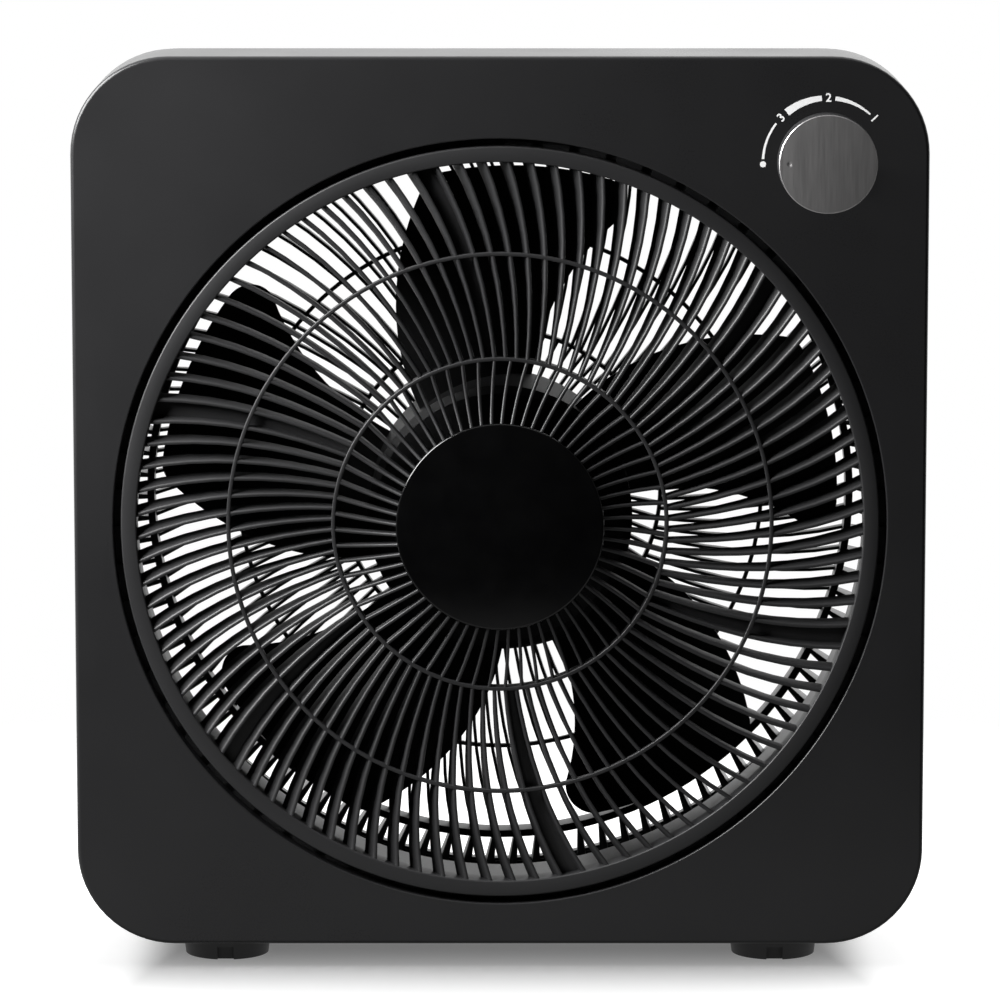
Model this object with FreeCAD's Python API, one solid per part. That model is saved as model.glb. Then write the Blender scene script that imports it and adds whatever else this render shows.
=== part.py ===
"""Box fan with a 16-inch grille: a square moulded housing on four feet, a five-blade rotor on a
capacitor motor, and a louvre grille that the air turns in its guide ring.

Millimetres. X is to the right, Y to the back, Z up. The origin is on the floor, in the middle of
the fan's width and depth. The rotor, the grille and the guard share one axis along Y.
"""
import FreeCAD
import Part
import math
import os

from FreeCAD import Vector

# ---------------------------------------------------------------- driving dimensions
# Housing
BODY_WIDTH = 456.0
BODY_HEIGHT = 480.0
BODY_CORNER = 52.0
FRONT_DEPTH = 57.5          # front housing, panel face to parting plane
REAR_DEPTH = 74.0           # rear housing, parting plane to rear face
REAR_DRAFT = 5.0            # the rear housing narrows by this much on each side
WALL = 2.5
EDGE_RADIUS = 2.2           # outer edge of the front panel
REAR_EDGE_RADIUS = 6.0
FAN_DROP = 10.7             # fan axis below the middle of the body
OPENING_ROLL = 3.0          # rolled edge of the opening
LIP_WALL = 4.0
LIP_DEPTH = 11.5            # opening wall, panel face to flange
GRIP_WIDTH = 110.0
GRIP_HEIGHT = 22.0
GRIP_DEPTH = 30.0
GRIP_BAR = 6.5              # top face down to the finger pocket

# Front grille
GRILLE_RADIUS = 203.0
GRILLE_RIM_WIDTH = 8.4
GROOVE = 4.0                # open gap round the grille
FLANGE_WIDTH = 8.0          # grille flange that runs in the guide ring
FLANGE_THICK = 2.5
FLANGE_NOTCH_COUNT = 64
FLANGE_NOTCH_WIDTH = 6.0
FLANGE_NOTCH_ROOT = 1.2     # flange left between the rim and each notch
RUN_GAP = 0.6               # running clearance round the flange
DOME_RISE = 8.5             # centre disc in front of the grille rim
DOME_POWER = 8              # how closely the rise keeps to the centre
VANE_SETBACK = 1.5          # the vanes' front edges behind the rim
MIDDLE_RING_RADIUS = 145.5
INNER_RING_RADIUS = 89.3
THIN_RING_WIDTH = 2.2
THIN_RING_DEPTH = 2.6
RING_PROUD = 0.2            # rings in front of the vanes
CAP_RADIUS = 55.7
CAP_THICK = 3.0
CAP_SEAT_EDGE = 1.5
VANE_COUNT = 96
VANE_START = 1.8            # first vane at the inner ring, degrees
VANE_THICK = 2.2
VANE_DEPTH = 9.5
VANE_LEAN = 5.6             # how far all back edges stand to one side of the front edges
VANE_LEAN_AXIS = 37.0       # where round the rim that is straight across the vanes, degrees
VANE_SWEEP_MIDDLE = 3.5     # degrees from the inner ring to the middle ring
VANE_SWEEP_RIM = 8.0        # degrees from the inner ring to the rim
VANE_CHORDS = 3             # straight pieces along each vane
INNER_VANE_COUNT = 64
INNER_VANE_THICK = 1.8
INNER_VANE_DEPTH = 8.0
INNER_VANE_SWEEP = 2.8
INNER_VANE_CHORDS = 2
RIB_COUNT = 6
RIB_FIRST = 8               # first vane gap that holds a thick rib
RIB_FLOOR = 6.0             # rib floor behind the vanes' front edges
RIB_BACK = 1.0              # rib back in front of the vanes' back edges

# Guide ring and air duct
GUIDE_THICK = 2.5
GUIDE_EARS = 4
EAR_RADIUS = 7.0
DUCT_RADIUS = 197.4
DUCT_WALL = 2.4

# Rotor
ROTOR_RADIUS = 186.0
BLADE_COUNT = 5
BLADE_THICK = 2.4
BLADE_TIP_ROUND = 14.0
BLADE_MARGIN = 3.0          # the sheet runs this many degrees past the outline
BLADE_CAMBER = 5.0
# Each station is (share of the blade's span, leading edge, trailing edge in degrees,
# leading edge, trailing edge along Y behind the panel face).
BLADE_STATIONS = ((0.0, 75.8, 127.5, 94.0, 44.0), (0.33, 75.0, 120.5, 101.0, 50.0),
                  (0.66, 70.2, 111.8, 110.0, 57.5), (1.0, 62.5, 102.0, 117.5, 65.0))
HUB_RADIUS = 71.5
HUB_WALL = 3.0
HUB_LENGTH = 72.0
HUB_EDGE = 4.0
HUB_FRONT_DEPTH = 26.0      # hub face behind the panel face
HUB_BOSS_RADIUS = 11.0
HUB_BOSS_LENGTH = 22.0
SHAFT_RADIUS = 4.0
NUT_RADIUS = 12.0
NUT_HEIGHT = 9.0
NUT_FLUTES = 6
NUT_FLUTE_RADIUS = 2.4
NUT_FLUTE_OUT = 1.2         # flute centres outside the nut's radius
NUT_FLANGE = 2.0
PIN_RADIUS = 1.5
PIN_LENGTH = 18.0

# Motor
MOTOR_RADIUS = 49.0
MOTOR_LENGTH = 60.0
MOTOR_CHAMFER = 4.0
MOTOR_SCREW_REACH = 30.0    # motor screws from the axis, across and up
MOTOR_SCREW_GRIP = 8.0
STATOR_LENGTH = 24.0
STATOR_GAP = 0.5            # stator inside the end shields' rims
STATOR_BORE_EXTRA = 2.0     # core bore round the windings' lining
WINDING_REACH = 8.0
WINDING_INSET = 6.0
SHIELD_WALL = 2.0
SHAFT_HOLE_GAP = 1.0
SHAFT_TAIL_GAP = 1.5        # shaft end in front of the rear shield
ROTOR_CORE_RADIUS = 25.0
AIR_GAP = 0.5
BEARING_RADIUS = 9.0
BEARING_LENGTH = 10.0
BEARING_CLEARANCE = 0.04

# Rear guard
GUARD_RADIUS = 217.0
GUARD_RIM_WIDTH = 6.0
GUARD_DEPTH = 6.5
GUARD_RING_REACH = 9.0      # thick ring in front of the rear face
GUARD_FIN_REACH = 22.0      # outer end of each fin in front of the rear face
GUARD_FIN_THICK = 2.0
GUARD_FIN_TURN = 0.7        # how far a fin's outer end lies behind its inner end, degrees
GUARD_THICK_RING_RADIUS = 194.0
GUARD_THICK_RING_WIDTH = 4.0
GUARD_VANE_COUNT = 102
GUARD_VANE_THICK = 1.8
GUARD_INNER_VANE_COUNT = 68
GUARD_PLATE_RADIUS = 66.0
GUARD_PLATE_THICK = 4.0
GUARD_SCREW_COUNT = 6
GUARD_SCREW_GRIP = 12.0
GUARD_HEAD_RADIUS = 2.6     # the guard's screws have smaller heads, sunk in its rim

# Speed switch and knob
KNOB_RADIUS = 26.5
KNOB_TAPER = 0.3
KNOB_HEIGHT = 13.2
KNOB_GAP = 1.6
KNOB_WALL = 2.4
KNOB_X = 173.4
KNOB_ABOVE_AXIS = 194.7
KNOB_CAP_THICK = 1.2
KNOB_CAP_CHAMFER = 0.8
DIMPLE_REACH = 20.5
DIMPLE_RADIUS = 1.0
DIMPLE_DEPTH = 0.6
SWITCH_RADIUS = 17.0
SWITCH_LENGTH = 18.0
SWITCH_SHAFT_RADIUS = 3.0
SWITCH_BUSH_RADIUS = 5.0
SWITCH_BUSH_PROUD = 2.5     # bush in front of the panel
SWITCH_NUT_HEIGHT = 2.2
SWITCH_NUT_EXTRA = 3.0      # nut's corners outside the bush
SWITCH_TABS = 3
SWITCH_TAB_PITCH = 8.0
SWITCH_TAB_REACH = 7.0
SWITCH_TAB_WIDTH = 4.8
SWITCH_TAB_THICK = 0.8
SHAFT_BASE_GAP = 0.5

# Cord gland, terminal block and capacitor, inside the rear housing
GLAND_SIDE = 40.0           # gland inward from the body's left side
GLAND_RISE = 36.0           # gland above the body's bottom
GLAND_RADIUS = 7.0
GLAND_BORE = 3.6
GLAND_REACH = 9.0
GLAND_FLANGE = 2.5
GLAND_FLANGE_THICK = 2.0
GLAND_TAPER = 2.0
TERMINAL_WIDTH = 16.0
TERMINAL_HEIGHT = 34.0
TERMINAL_DEPTH = 14.0
TERMINAL_OFFSET = 10.0      # block outward from the gland
TERMINAL_RISE = 24.0        # block above the gland
TERMINAL_WAYS = 3
TERMINAL_PITCH = 11.0
TERMINAL_HOLE_RADIUS = 2.2
TERMINAL_HOLE_FLOOR = 6.0
CAPACITOR_WIDTH = 40.0
CAPACITOR_HEIGHT = 26.0
CAPACITOR_DEPTH = 18.0
CAPACITOR_SIDE = 26.0       # capacitor inward from the body's left side
CAPACITOR_DROP = 36.0       # capacitor below the body's top
CAPACITOR_ROUND = 1.5

# Feet
FOOT_RADIUS = 24.0
FOOT_HEIGHT = 12.0
FOOT_TAPER = 1.5
FOOT_X = 149.0
FOOT_SETBACK = 9.0          # edge of a foot behind the panel face or in front of the rear face
FOOT_NOTCH = 8.7
FOOT_NOTCH_DEPTH = 4.0
FOOT_FLOOR = 3.0            # material over the screw head
FOOT_SCREW_GRIP = 6.0
PAD_RADIUS = 15.0
PAD_THICK = 3.0
PAD_SHOW = 1.0

# Screws and fits
BOSS_RADIUS = 4.5
BOSS_INSET = 25.0
SCREW_RADIUS = 1.75
SCREW_HEAD_RADIUS = 3.4
SCREW_HEAD_HEIGHT = 2.4
HOUSING_SCREW_GRIP = 12.0   # screw thread in the front housing's boss
HOUSING_SCREW_SEAT = 8.0    # screw head seat behind the parting plane
EAR_SCREW_GRIP = 9.0
FIT = 0.1                   # clearance of pieces that are put together and don't move
SEAT_GAP = 0.3              # clearance beside a seated piece
OVER = 1.0                  # how far a cutter runs past the face it opens

# ---------------------------------------------------------------- places worked out from them
FRONT_REACH = FRONT_DEPTH + max(DOME_RISE, KNOB_GAP + KNOB_HEIGHT)
REAR_REACH = REAR_DEPTH + GUARD_DEPTH
PARTING_Y = (FRONT_REACH - REAR_REACH) / 2
FRONT_Y = PARTING_Y - FRONT_DEPTH
REAR_Y = PARTING_Y + REAR_DEPTH
BODY_Z = FOOT_HEIGHT + BODY_HEIGHT / 2
BODY_SIDE = BODY_WIDTH / 2
BODY_TOP = BODY_Z + BODY_HEIGHT / 2
FAN_Z = BODY_Z - FAN_DROP
PANEL_BACK_Y = FRONT_Y + WALL
OPENING_RADIUS = GRILLE_RADIUS + GROOVE
FLANGE_RADIUS = GRILLE_RADIUS + FLANGE_WIDTH
RIM_INNER_RADIUS = GRILLE_RADIUS - GRILLE_RIM_WIDTH
LIP_END_Y = FRONT_Y + LIP_DEPTH
FLANGE_Y = LIP_END_Y + RUN_GAP
FLANGE_END_Y = FLANGE_Y + FLANGE_THICK
GUIDE_Y = FLANGE_END_Y + RUN_GAP
GUIDE_END_Y = GUIDE_Y + GUIDE_THICK
GUIDE_INNER_RADIUS = FLANGE_RADIUS + RUN_GAP
GUIDE_RADIUS = GUIDE_INNER_RADIUS + GUIDE_THICK
EAR_PITCH_RADIUS = GUIDE_RADIUS + EAR_RADIUS
HUB_Y = FRONT_Y + HUB_FRONT_DEPTH
HUB_END_Y = HUB_Y + HUB_LENGTH
HUB_BOSS_END_Y = HUB_Y + HUB_BOSS_LENGTH
MOTOR_Y = REAR_Y - MOTOR_LENGTH
STATOR_Y = MOTOR_Y + (MOTOR_LENGTH - STATOR_LENGTH) / 2
STATOR_END_Y = STATOR_Y + STATOR_LENGTH
SHAFT_END_Y = REAR_Y - SHIELD_WALL - SHAFT_TAIL_GAP
BORE_RADIUS = ROTOR_CORE_RADIUS + AIR_GAP
GUARD_END_Y = REAR_Y + GUARD_DEPTH
GUARD_OPENING_RADIUS = GUARD_RADIUS - GUARD_RIM_WIDTH
GUARD_FIN_END = GUARD_OPENING_RADIUS - SEAT_GAP - FIT
GUARD_RIM_INNER = GUARD_FIN_END - OVER
GUARD_RING_Y = REAR_Y - GUARD_RING_REACH
GUARD_FIN_Y = REAR_Y - GUARD_FIN_REACH
GUARD_SEAT_Y = GUARD_END_Y - SCREW_HEAD_HEIGHT - FIT
KNOB_Z = FAN_Z + KNOB_ABOVE_AXIS
KNOB_BACK_Y = FRONT_Y - KNOB_GAP
KNOB_FRONT_Y = KNOB_BACK_Y - KNOB_HEIGHT + KNOB_CAP_THICK
KNOB_FACE_Y = KNOB_FRONT_Y - KNOB_CAP_THICK
KNOB_SOCKET_Y = KNOB_FRONT_Y + KNOB_WALL
SWITCH_END_Y = PANEL_BACK_Y + SWITCH_LENGTH
SWITCH_BORE_END_Y = PANEL_BACK_Y + SWITCH_LENGTH / 2
BUSH_FRONT_Y = FRONT_Y - SWITCH_BUSH_PROUD
INNER_REAR_Y = REAR_Y - WALL
GLAND_X = GLAND_SIDE - BODY_SIDE
GLAND_Z = FOOT_HEIGHT + GLAND_RISE
FRONT_FOOT_Y = FRONT_Y + FOOT_SETBACK + FOOT_RADIUS
REAR_FOOT_Y = REAR_Y - FOOT_SETBACK - FOOT_RADIUS
BACK = Vector(0, 1, 0)
UP = Vector(0, 0, 1)


# ---------------------------------------------------------------- small helpers
def polar(radius, degrees, y):
    """A point at a radius and an angle round the fan axis, counted from +X towards +Z."""
    turn = math.radians(degrees)
    return Vector(radius * math.cos(turn), y, FAN_Z + radius * math.sin(turn))


def rod(x, z, radius, y0, y1):
    """A cylinder along Y."""
    return Part.makeCylinder(radius, y1 - y0, Vector(x, y0, z), BACK)


def post(x, y, radius, z0, z1):
    """A cylinder along Z."""
    return Part.makeCylinder(radius, z1 - z0, Vector(x, y, z0), UP)


def tube(x, z, outer, inner, y0, y1):
    """A hollow cylinder along Y."""
    return rod(x, z, outer, y0, y1).cut(rod(x, z, inner, y0, y1))


def block(x0, x1, y0, y1, z0, z1):
    return Part.makeBox(x1 - x0, y1 - y0, z1 - z0, Vector(x0, y0, z0))


def spun(wire):
    """The solid that a closed wire beside the fan axis sweeps round it."""
    return Part.Face(wire).revolve(Vector(0, 0, FAN_Z), BACK, 360)


def turned(profile):
    """The solid that a closed (radius, y) profile sweeps round the fan axis."""
    points = [Vector(radius, y, FAN_Z) for radius, y in profile]
    return spun(Part.makePolygon(points + points[:1]))


def rounded_outline(width, height, corner, y):
    """A rectangle with round corners in the plane y, round the middle of the body."""
    half_w = width / 2 - corner
    half_h = height / 2 - corner
    edges = []
    for turn, (side_x, side_z) in enumerate(((1, 1), (-1, 1), (-1, -1), (1, -1))):
        centre = Vector(side_x * half_w, y, BODY_Z + side_z * half_h)
        places = []
        for step in (0, 45, 90):
            angle = math.radians(90 * turn + step)
            places.append(centre + Vector(corner * math.cos(angle), 0, corner * math.sin(angle)))
        if edges:
            edges.append(Part.makeLine(edges[-1].Vertexes[-1].Point, places[0]))
        edges.append(Part.Arc(*places).toShape())
    edges.append(Part.makeLine(edges[-1].Vertexes[-1].Point, edges[0].Vertexes[0].Point))
    return Part.Wire(edges)


def edges_in_plane(solid, y, shortest):
    """The edges of a solid that lie in the plane y and are at least so long."""
    found = []
    for edge in solid.Edges:
        box = edge.BoundBox
        if abs(box.YMin - y) < 1e-4 and abs(box.YMax - y) < 1e-4 and edge.Length >= shortest:
            found.append(edge)
    return found


def corner_places():
    """The four housing screws in the corners, as (x, z)."""
    reach_x = BODY_WIDTH / 2 - BOSS_INSET
    reach_z = BODY_HEIGHT / 2 - BOSS_INSET
    return [(sx * reach_x, BODY_Z + sz * reach_z) for sx in (-1, 1) for sz in (-1, 1)]


def ear_places():
    """The screws of the guide ring, on the diagonals, as (x, z)."""
    places = []
    for turn in range(GUIDE_EARS):
        point = polar(EAR_PITCH_RADIUS, 45 + turn * 360 / GUIDE_EARS, 0)
        places.append((point.x, point.z))
    return places


def foot_places():
    return [("front_left", -FOOT_X, FRONT_FOOT_Y), ("front_right", FOOT_X, FRONT_FOOT_Y),
            ("rear_left", -FOOT_X, REAR_FOOT_Y), ("rear_right", FOOT_X, REAR_FOOT_Y)]


# ---------------------------------------------------------------- housing
def opening_cutter():
    """The round opening with its rolled edge, as a solid to cut away."""
    def place(radius, y):
        return Vector(radius, y, FAN_Z)

    bend = OPENING_ROLL * math.sqrt(0.5)
    roll_start = place(OPENING_RADIUS + OPENING_ROLL, FRONT_Y)
    roll_middle = place(OPENING_RADIUS + OPENING_ROLL - bend, FRONT_Y + OPENING_ROLL - bend)
    roll_end = place(OPENING_RADIUS, FRONT_Y + OPENING_ROLL)
    front = [place(0, FRONT_Y - OVER), place(OPENING_RADIUS + OPENING_ROLL, FRONT_Y - OVER), roll_start]
    back = [roll_end, place(OPENING_RADIUS, LIP_END_Y + OVER), place(0, LIP_END_Y + OVER), front[0]]
    roll = Part.Arc(roll_start, roll_middle, roll_end).toShape()
    edges = Part.makePolygon(front).Edges + [roll] + Part.makePolygon(back).Edges
    return spun(Part.Wire(edges))


def opening_lip():
    """The wall round the opening, with the flange that the guide ring stands on."""
    lip_radius = OPENING_RADIUS + LIP_WALL
    flange_front = LIP_END_Y - FLANGE_THICK
    middle = FRONT_Y + WALL / 2
    return turned([(lip_radius, flange_front), (lip_radius, middle), (OPENING_RADIUS - OVER, middle),
                   (OPENING_RADIUS - OVER, LIP_END_Y), (GUIDE_RADIUS, LIP_END_Y),
                   (GUIDE_RADIUS, flange_front)])


def front_housing():
    outline = rounded_outline(BODY_WIDTH, BODY_HEIGHT, BODY_CORNER, FRONT_Y)
    shell = Part.Face(outline).extrude(BACK * FRONT_DEPTH)
    shell = shell.makeFillet(EDGE_RADIUS, edges_in_plane(shell, FRONT_Y, 1))
    inner = rounded_outline(BODY_WIDTH - 2 * WALL, BODY_HEIGHT - 2 * WALL,
                            BODY_CORNER - WALL, PANEL_BACK_Y)
    shell = shell.cut(Part.Face(inner).extrude(BACK * FRONT_DEPTH))
    pieces = [opening_lip()]
    for x, z in corner_places():
        pieces.append(rod(x, z, BOSS_RADIUS, PANEL_BACK_Y - WALL / 2, PARTING_Y))
    for x, z in ear_places():
        pieces.append(rod(x, z, BOSS_RADIUS, PANEL_BACK_Y - WALL / 2, GUIDE_Y))
    shell = shell.multiFuse(pieces)
    bush_hole = rod(KNOB_X, KNOB_Z, SWITCH_BUSH_RADIUS + FIT, FRONT_Y - OVER, PANEL_BACK_Y + OVER)
    holes = [opening_cutter(), bush_hole]
    for x, z in corner_places():
        start = PARTING_Y - HOUSING_SCREW_GRIP - OVER
        holes.append(rod(x, z, SCREW_RADIUS + FIT, start, PARTING_Y + OVER))
    for x, z in ear_places():
        holes.append(rod(x, z, SCREW_RADIUS + FIT, PANEL_BACK_Y + OVER, GUIDE_Y + OVER))
    for name, x, y in foot_places():
        if name.startswith("front"):
            holes.append(post(x, y, SCREW_RADIUS + FIT, FOOT_HEIGHT - OVER, FOOT_HEIGHT + WALL + OVER))
    return shell.cut(holes)


def rear_envelope():
    """The outer form of the rear housing: it narrows to the back and has a round rear edge."""
    front = rounded_outline(BODY_WIDTH, BODY_HEIGHT, BODY_CORNER, PARTING_Y)
    rear = rounded_outline(BODY_WIDTH - 2 * REAR_DRAFT, BODY_HEIGHT - 2 * REAR_DRAFT,
                           BODY_CORNER - REAR_DRAFT, REAR_Y)
    form = Part.makeLoft([front, rear], True, True)
    return form.makeFillet(REAR_EDGE_RADIUS, edges_in_plane(form, REAR_Y, 1))


def rear_cavity():
    inset = 2 * WALL
    front = rounded_outline(BODY_WIDTH - inset, BODY_HEIGHT - inset, BODY_CORNER - WALL, PARTING_Y)
    rear = rounded_outline(BODY_WIDTH - 2 * REAR_DRAFT - inset, BODY_HEIGHT - 2 * REAR_DRAFT - inset,
                           BODY_CORNER - REAR_DRAFT - WALL, INNER_REAR_Y)
    form = Part.makeLoft([front, rear], True, True)
    return form.makeFillet(REAR_EDGE_RADIUS - WALL, edges_in_plane(form, INNER_REAR_Y, 1))


def rear_housing():
    """Rear shell with the finger pocket of the carrying grip and the seat of the guard."""
    top = BODY_TOP - REAR_DRAFT - GRIP_BAR
    half = GRIP_WIDTH / 2
    pocket = block(-half, half, REAR_Y - GRIP_DEPTH, REAR_Y + OVER, top - GRIP_HEIGHT, top)
    pocket_wall = block(-half - WALL, half + WALL, REAR_Y - GRIP_DEPTH - WALL, REAR_Y - WALL / 2,
                        top - GRIP_HEIGHT - WALL, top + WALL)
    pieces = [pocket_wall]
    for x, z in corner_places():
        pieces.append(rod(x, z, BOSS_RADIUS + WALL, PARTING_Y, REAR_Y - WALL / 2))
    shell = rear_envelope().cut(rear_cavity()).multiFuse(pieces)
    holes = [pocket, rod(0, FAN_Z, GUARD_OPENING_RADIUS, INNER_REAR_Y - OVER, REAR_Y + OVER)]
    for x, z in corner_places():
        seat = PARTING_Y + HOUSING_SCREW_SEAT
        holes.append(rod(x, z, SCREW_RADIUS + FIT, PARTING_Y - OVER, REAR_Y))
        holes.append(rod(x, z, SCREW_HEAD_RADIUS + SEAT_GAP, seat, REAR_Y + OVER))
    for name, x, y in foot_places():
        if name.startswith("rear"):
            end = FOOT_HEIGHT + REAR_DRAFT + 2 * WALL
            holes.append(post(x, y, SCREW_RADIUS + FIT, FOOT_HEIGHT - OVER, end))
    for x, z in guard_screw_places():
        holes.append(rod(x, z, SCREW_RADIUS + FIT, INNER_REAR_Y - OVER, REAR_Y + OVER))
    holes.append(rod(GLAND_X, GLAND_Z, GLAND_RADIUS + FIT, INNER_REAR_Y - OVER, REAR_Y + OVER))
    return shell.cut(holes)


def cord_gland():
    """The flanged bush in the rear wall that a mains lead passes through."""
    flange = rod(GLAND_X, GLAND_Z, GLAND_RADIUS + GLAND_FLANGE, REAR_Y, REAR_Y + GLAND_FLANGE_THICK)
    nose = Part.makeCone(GLAND_RADIUS, GLAND_RADIUS - GLAND_TAPER, GUARD_DEPTH,
                         Vector(GLAND_X, REAR_Y, GLAND_Z), BACK)
    neck = rod(GLAND_X, GLAND_Z, GLAND_RADIUS, REAR_Y - GLAND_REACH, REAR_Y)
    body = neck.multiFuse([flange, nose])
    return body.cut(rod(GLAND_X, GLAND_Z, GLAND_BORE, REAR_Y - GLAND_REACH - OVER, GUARD_END_Y + OVER))


def guide_ring():
    """The ring that the grille's flange runs in, with the air duct behind it."""
    profile = [(GUIDE_INNER_RADIUS, LIP_END_Y), (GUIDE_RADIUS, LIP_END_Y),
               (GUIDE_RADIUS, GUIDE_END_Y), (DUCT_RADIUS + DUCT_WALL, GUIDE_END_Y),
               (DUCT_RADIUS + DUCT_WALL, PARTING_Y), (DUCT_RADIUS, PARTING_Y),
               (DUCT_RADIUS, GUIDE_Y), (GUIDE_INNER_RADIUS, GUIDE_Y)]
    ring = turned(profile)
    ears = []
    for x, z in ear_places():
        away = Vector(x, 0, z - FAN_Z).normalize()
        side = away.cross(BACK) * EAR_RADIUS
        root = Vector(x, GUIDE_Y, z) - away * (EAR_RADIUS + GUIDE_THICK / 2)
        tip = Vector(x, GUIDE_Y, z)
        base = Part.Face(Part.makePolygon([root - side, root + side, tip + side, tip - side, root - side]))
        ears.append(base.extrude(BACK * GUIDE_THICK))
        ears.append(rod(x, z, EAR_RADIUS, GUIDE_Y, GUIDE_END_Y))
    ring = ring.multiFuse(ears)
    return ring.cut([rod(x, z, SCREW_RADIUS + FIT, GUIDE_Y - OVER, GUIDE_END_Y + OVER)
                     for x, z in ear_places()])


# ---------------------------------------------------------------- front grille
def sweep_angle(radius):
    """How far a vane has curved round, in degrees, between the inner ring and the rim."""
    span = RIM_INNER_RADIUS - INNER_RING_RADIUS
    middle = MIDDLE_RING_RADIUS - INNER_RING_RADIUS
    out = radius - INNER_RING_RADIUS
    slope = VANE_SWEEP_MIDDLE / middle
    bend = (VANE_SWEEP_RIM - slope * span) / (span * (span - middle))
    return slope * out + bend * out * (out - middle)


def inner_sweep_angle(radius):
    """The short vanes curve the other way from the inner ring to the centre."""
    return INNER_VANE_SWEEP * (INNER_RING_RADIUS - radius) / (INNER_RING_RADIUS - CAP_RADIUS)


def dome_y(radius):
    """The vanes' front edges: nearly flat, and rising to the disc in the middle."""
    rise = DOME_RISE + VANE_SETBACK - CAP_THICK / 2
    share = min(1, (radius - CAP_RADIUS) / (RIM_INNER_RADIUS - CAP_RADIUS))
    return FRONT_Y + VANE_SETBACK - rise * (1 - share) ** DOME_POWER


def lean_at(degrees, most):
    return most * math.cos(math.radians(degrees - VANE_LEAN_AXIS))


def half_of(thick):
    """Half the angle that a flat vane of this thickness takes up at a radius."""
    return lambda radius: math.degrees(thick / 2 / radius)


def vane(start, radii, sweep, half_at, depth, lean, fill=(0.0, 1.0)):
    """One leaning vane, lofted through flat sections that follow the dome.

    It takes up the stated part of the way from the front edges to the back edges.
    """
    middle = start + sweep((radii[0] + radii[-1]) / 2)
    turn = math.radians(middle)
    through = Vector(-math.sin(turn), 0, math.cos(turn)) * lean_at(middle, lean) + BACK * depth
    sections = []
    for radius in radii:
        half = half_at(radius)
        angle = start + sweep(radius)
        edge = [polar(radius, angle - half, dome_y(radius)), polar(radius, angle + half, dome_y(radius))]
        corners = [point + through * fill[0] for point in edge]
        corners += [point + through * fill[1] for point in reversed(edge)]
        sections.append(Part.makePolygon(corners + corners[:1]))
    return Part.makeLoft(sections, True, True)


def stations(inner, outer, chords):
    """Radii evenly spaced from inner to outer."""
    return [inner + (outer - inner) * step / chords for step in range(chords + 1)]


def thin_ring(radius, front_y, depth):
    outer = radius + THIN_RING_WIDTH / 2
    inner = radius - THIN_RING_WIDTH / 2
    return tube(0, FAN_Z, outer, inner, front_y, front_y + depth)


def grille_rim():
    """The rim with its flange, which has notches all round."""
    rim = turned([(RIM_INNER_RADIUS, FRONT_Y), (GRILLE_RADIUS, FRONT_Y), (GRILLE_RADIUS, FLANGE_Y),
                  (FLANGE_RADIUS, FLANGE_Y), (FLANGE_RADIUS, FLANGE_END_Y),
                  (RIM_INNER_RADIUS, FLANGE_END_Y)])
    notch = block(GRILLE_RADIUS + FLANGE_NOTCH_ROOT, FLANGE_RADIUS + OVER, FLANGE_Y - OVER, FLANGE_END_Y + OVER,
                  FAN_Z - FLANGE_NOTCH_WIDTH / 2, FAN_Z + FLANGE_NOTCH_WIDTH / 2)
    notches = []
    for index in range(FLANGE_NOTCH_COUNT):
        cutter = notch.copy()
        cutter.rotate(Vector(0, 0, FAN_Z), BACK, index * 360 / FLANGE_NOTCH_COUNT)
        notches.append(cutter)
    return rim.cut(notches)


def cap_seat():
    """The hollow boss in the middle of the grille that carries the disc."""
    seat_y = FRONT_Y - DOME_RISE + CAP_THICK
    end_y = seat_y + INNER_VANE_DEPTH
    seat = rod(0, FAN_Z, CAP_RADIUS + CAP_SEAT_EDGE, seat_y, end_y)
    return seat.cut(rod(0, FAN_Z, CAP_RADIUS - WALL, seat_y + CAP_THICK, end_y + OVER))


def front_grille():
    """Rim with its flange, two rings, curved leaning vanes and the seat of the centre disc."""
    inner_ring = thin_ring(INNER_RING_RADIUS, dome_y(INNER_RING_RADIUS) - RING_PROUD, VANE_DEPTH)
    middle_ring = thin_ring(MIDDLE_RING_RADIUS, dome_y(MIDDLE_RING_RADIUS) - RING_PROUD, THIN_RING_DEPTH)
    pitch = 360 / VANE_COUNT
    radii = stations(INNER_RING_RADIUS, RIM_INNER_RADIUS + THIN_RING_WIDTH, VANE_CHORDS)
    pieces = [inner_ring, middle_ring, cap_seat()]
    for index in range(VANE_COUNT):
        start = VANE_START + index * pitch
        pieces.append(vane(start, radii, sweep_angle, half_of(VANE_THICK), VANE_DEPTH, VANE_LEAN))
    inner_radii = stations(CAP_RADIUS + CAP_SEAT_EDGE / 3, INNER_RING_RADIUS, INNER_VANE_CHORDS)
    for index in range(INNER_VANE_COUNT):
        start = VANE_START + index * 360 / INNER_VANE_COUNT
        pieces.append(vane(start, inner_radii, inner_sweep_angle, half_of(INNER_VANE_THICK),
                           INNER_VANE_DEPTH, VANE_LEAN / 2))
    for index in range(RIB_COUNT):
        start = VANE_START + pitch * (RIB_FIRST + 0.5 + index * VANE_COUNT / RIB_COUNT)
        pieces.append(vane(start, radii, sweep_angle, lambda radius: pitch / 2, VANE_DEPTH, VANE_LEAN,
                           (RIB_FLOOR / VANE_DEPTH, 1 - RIB_BACK / VANE_DEPTH)))
    return grille_rim().multiFuse(pieces)


def grille_cap():
    """The bare disc that closes the middle of the grille."""
    y = FRONT_Y - DOME_RISE
    disc = rod(0, FAN_Z, CAP_RADIUS, y, y + CAP_THICK)
    return disc.makeFillet(CAP_THICK / 3, edges_in_plane(disc, y, 1))


# ---------------------------------------------------------------- rotor
def blade_root_radius():
    return HUB_RADIUS - HUB_WALL / 2


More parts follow.
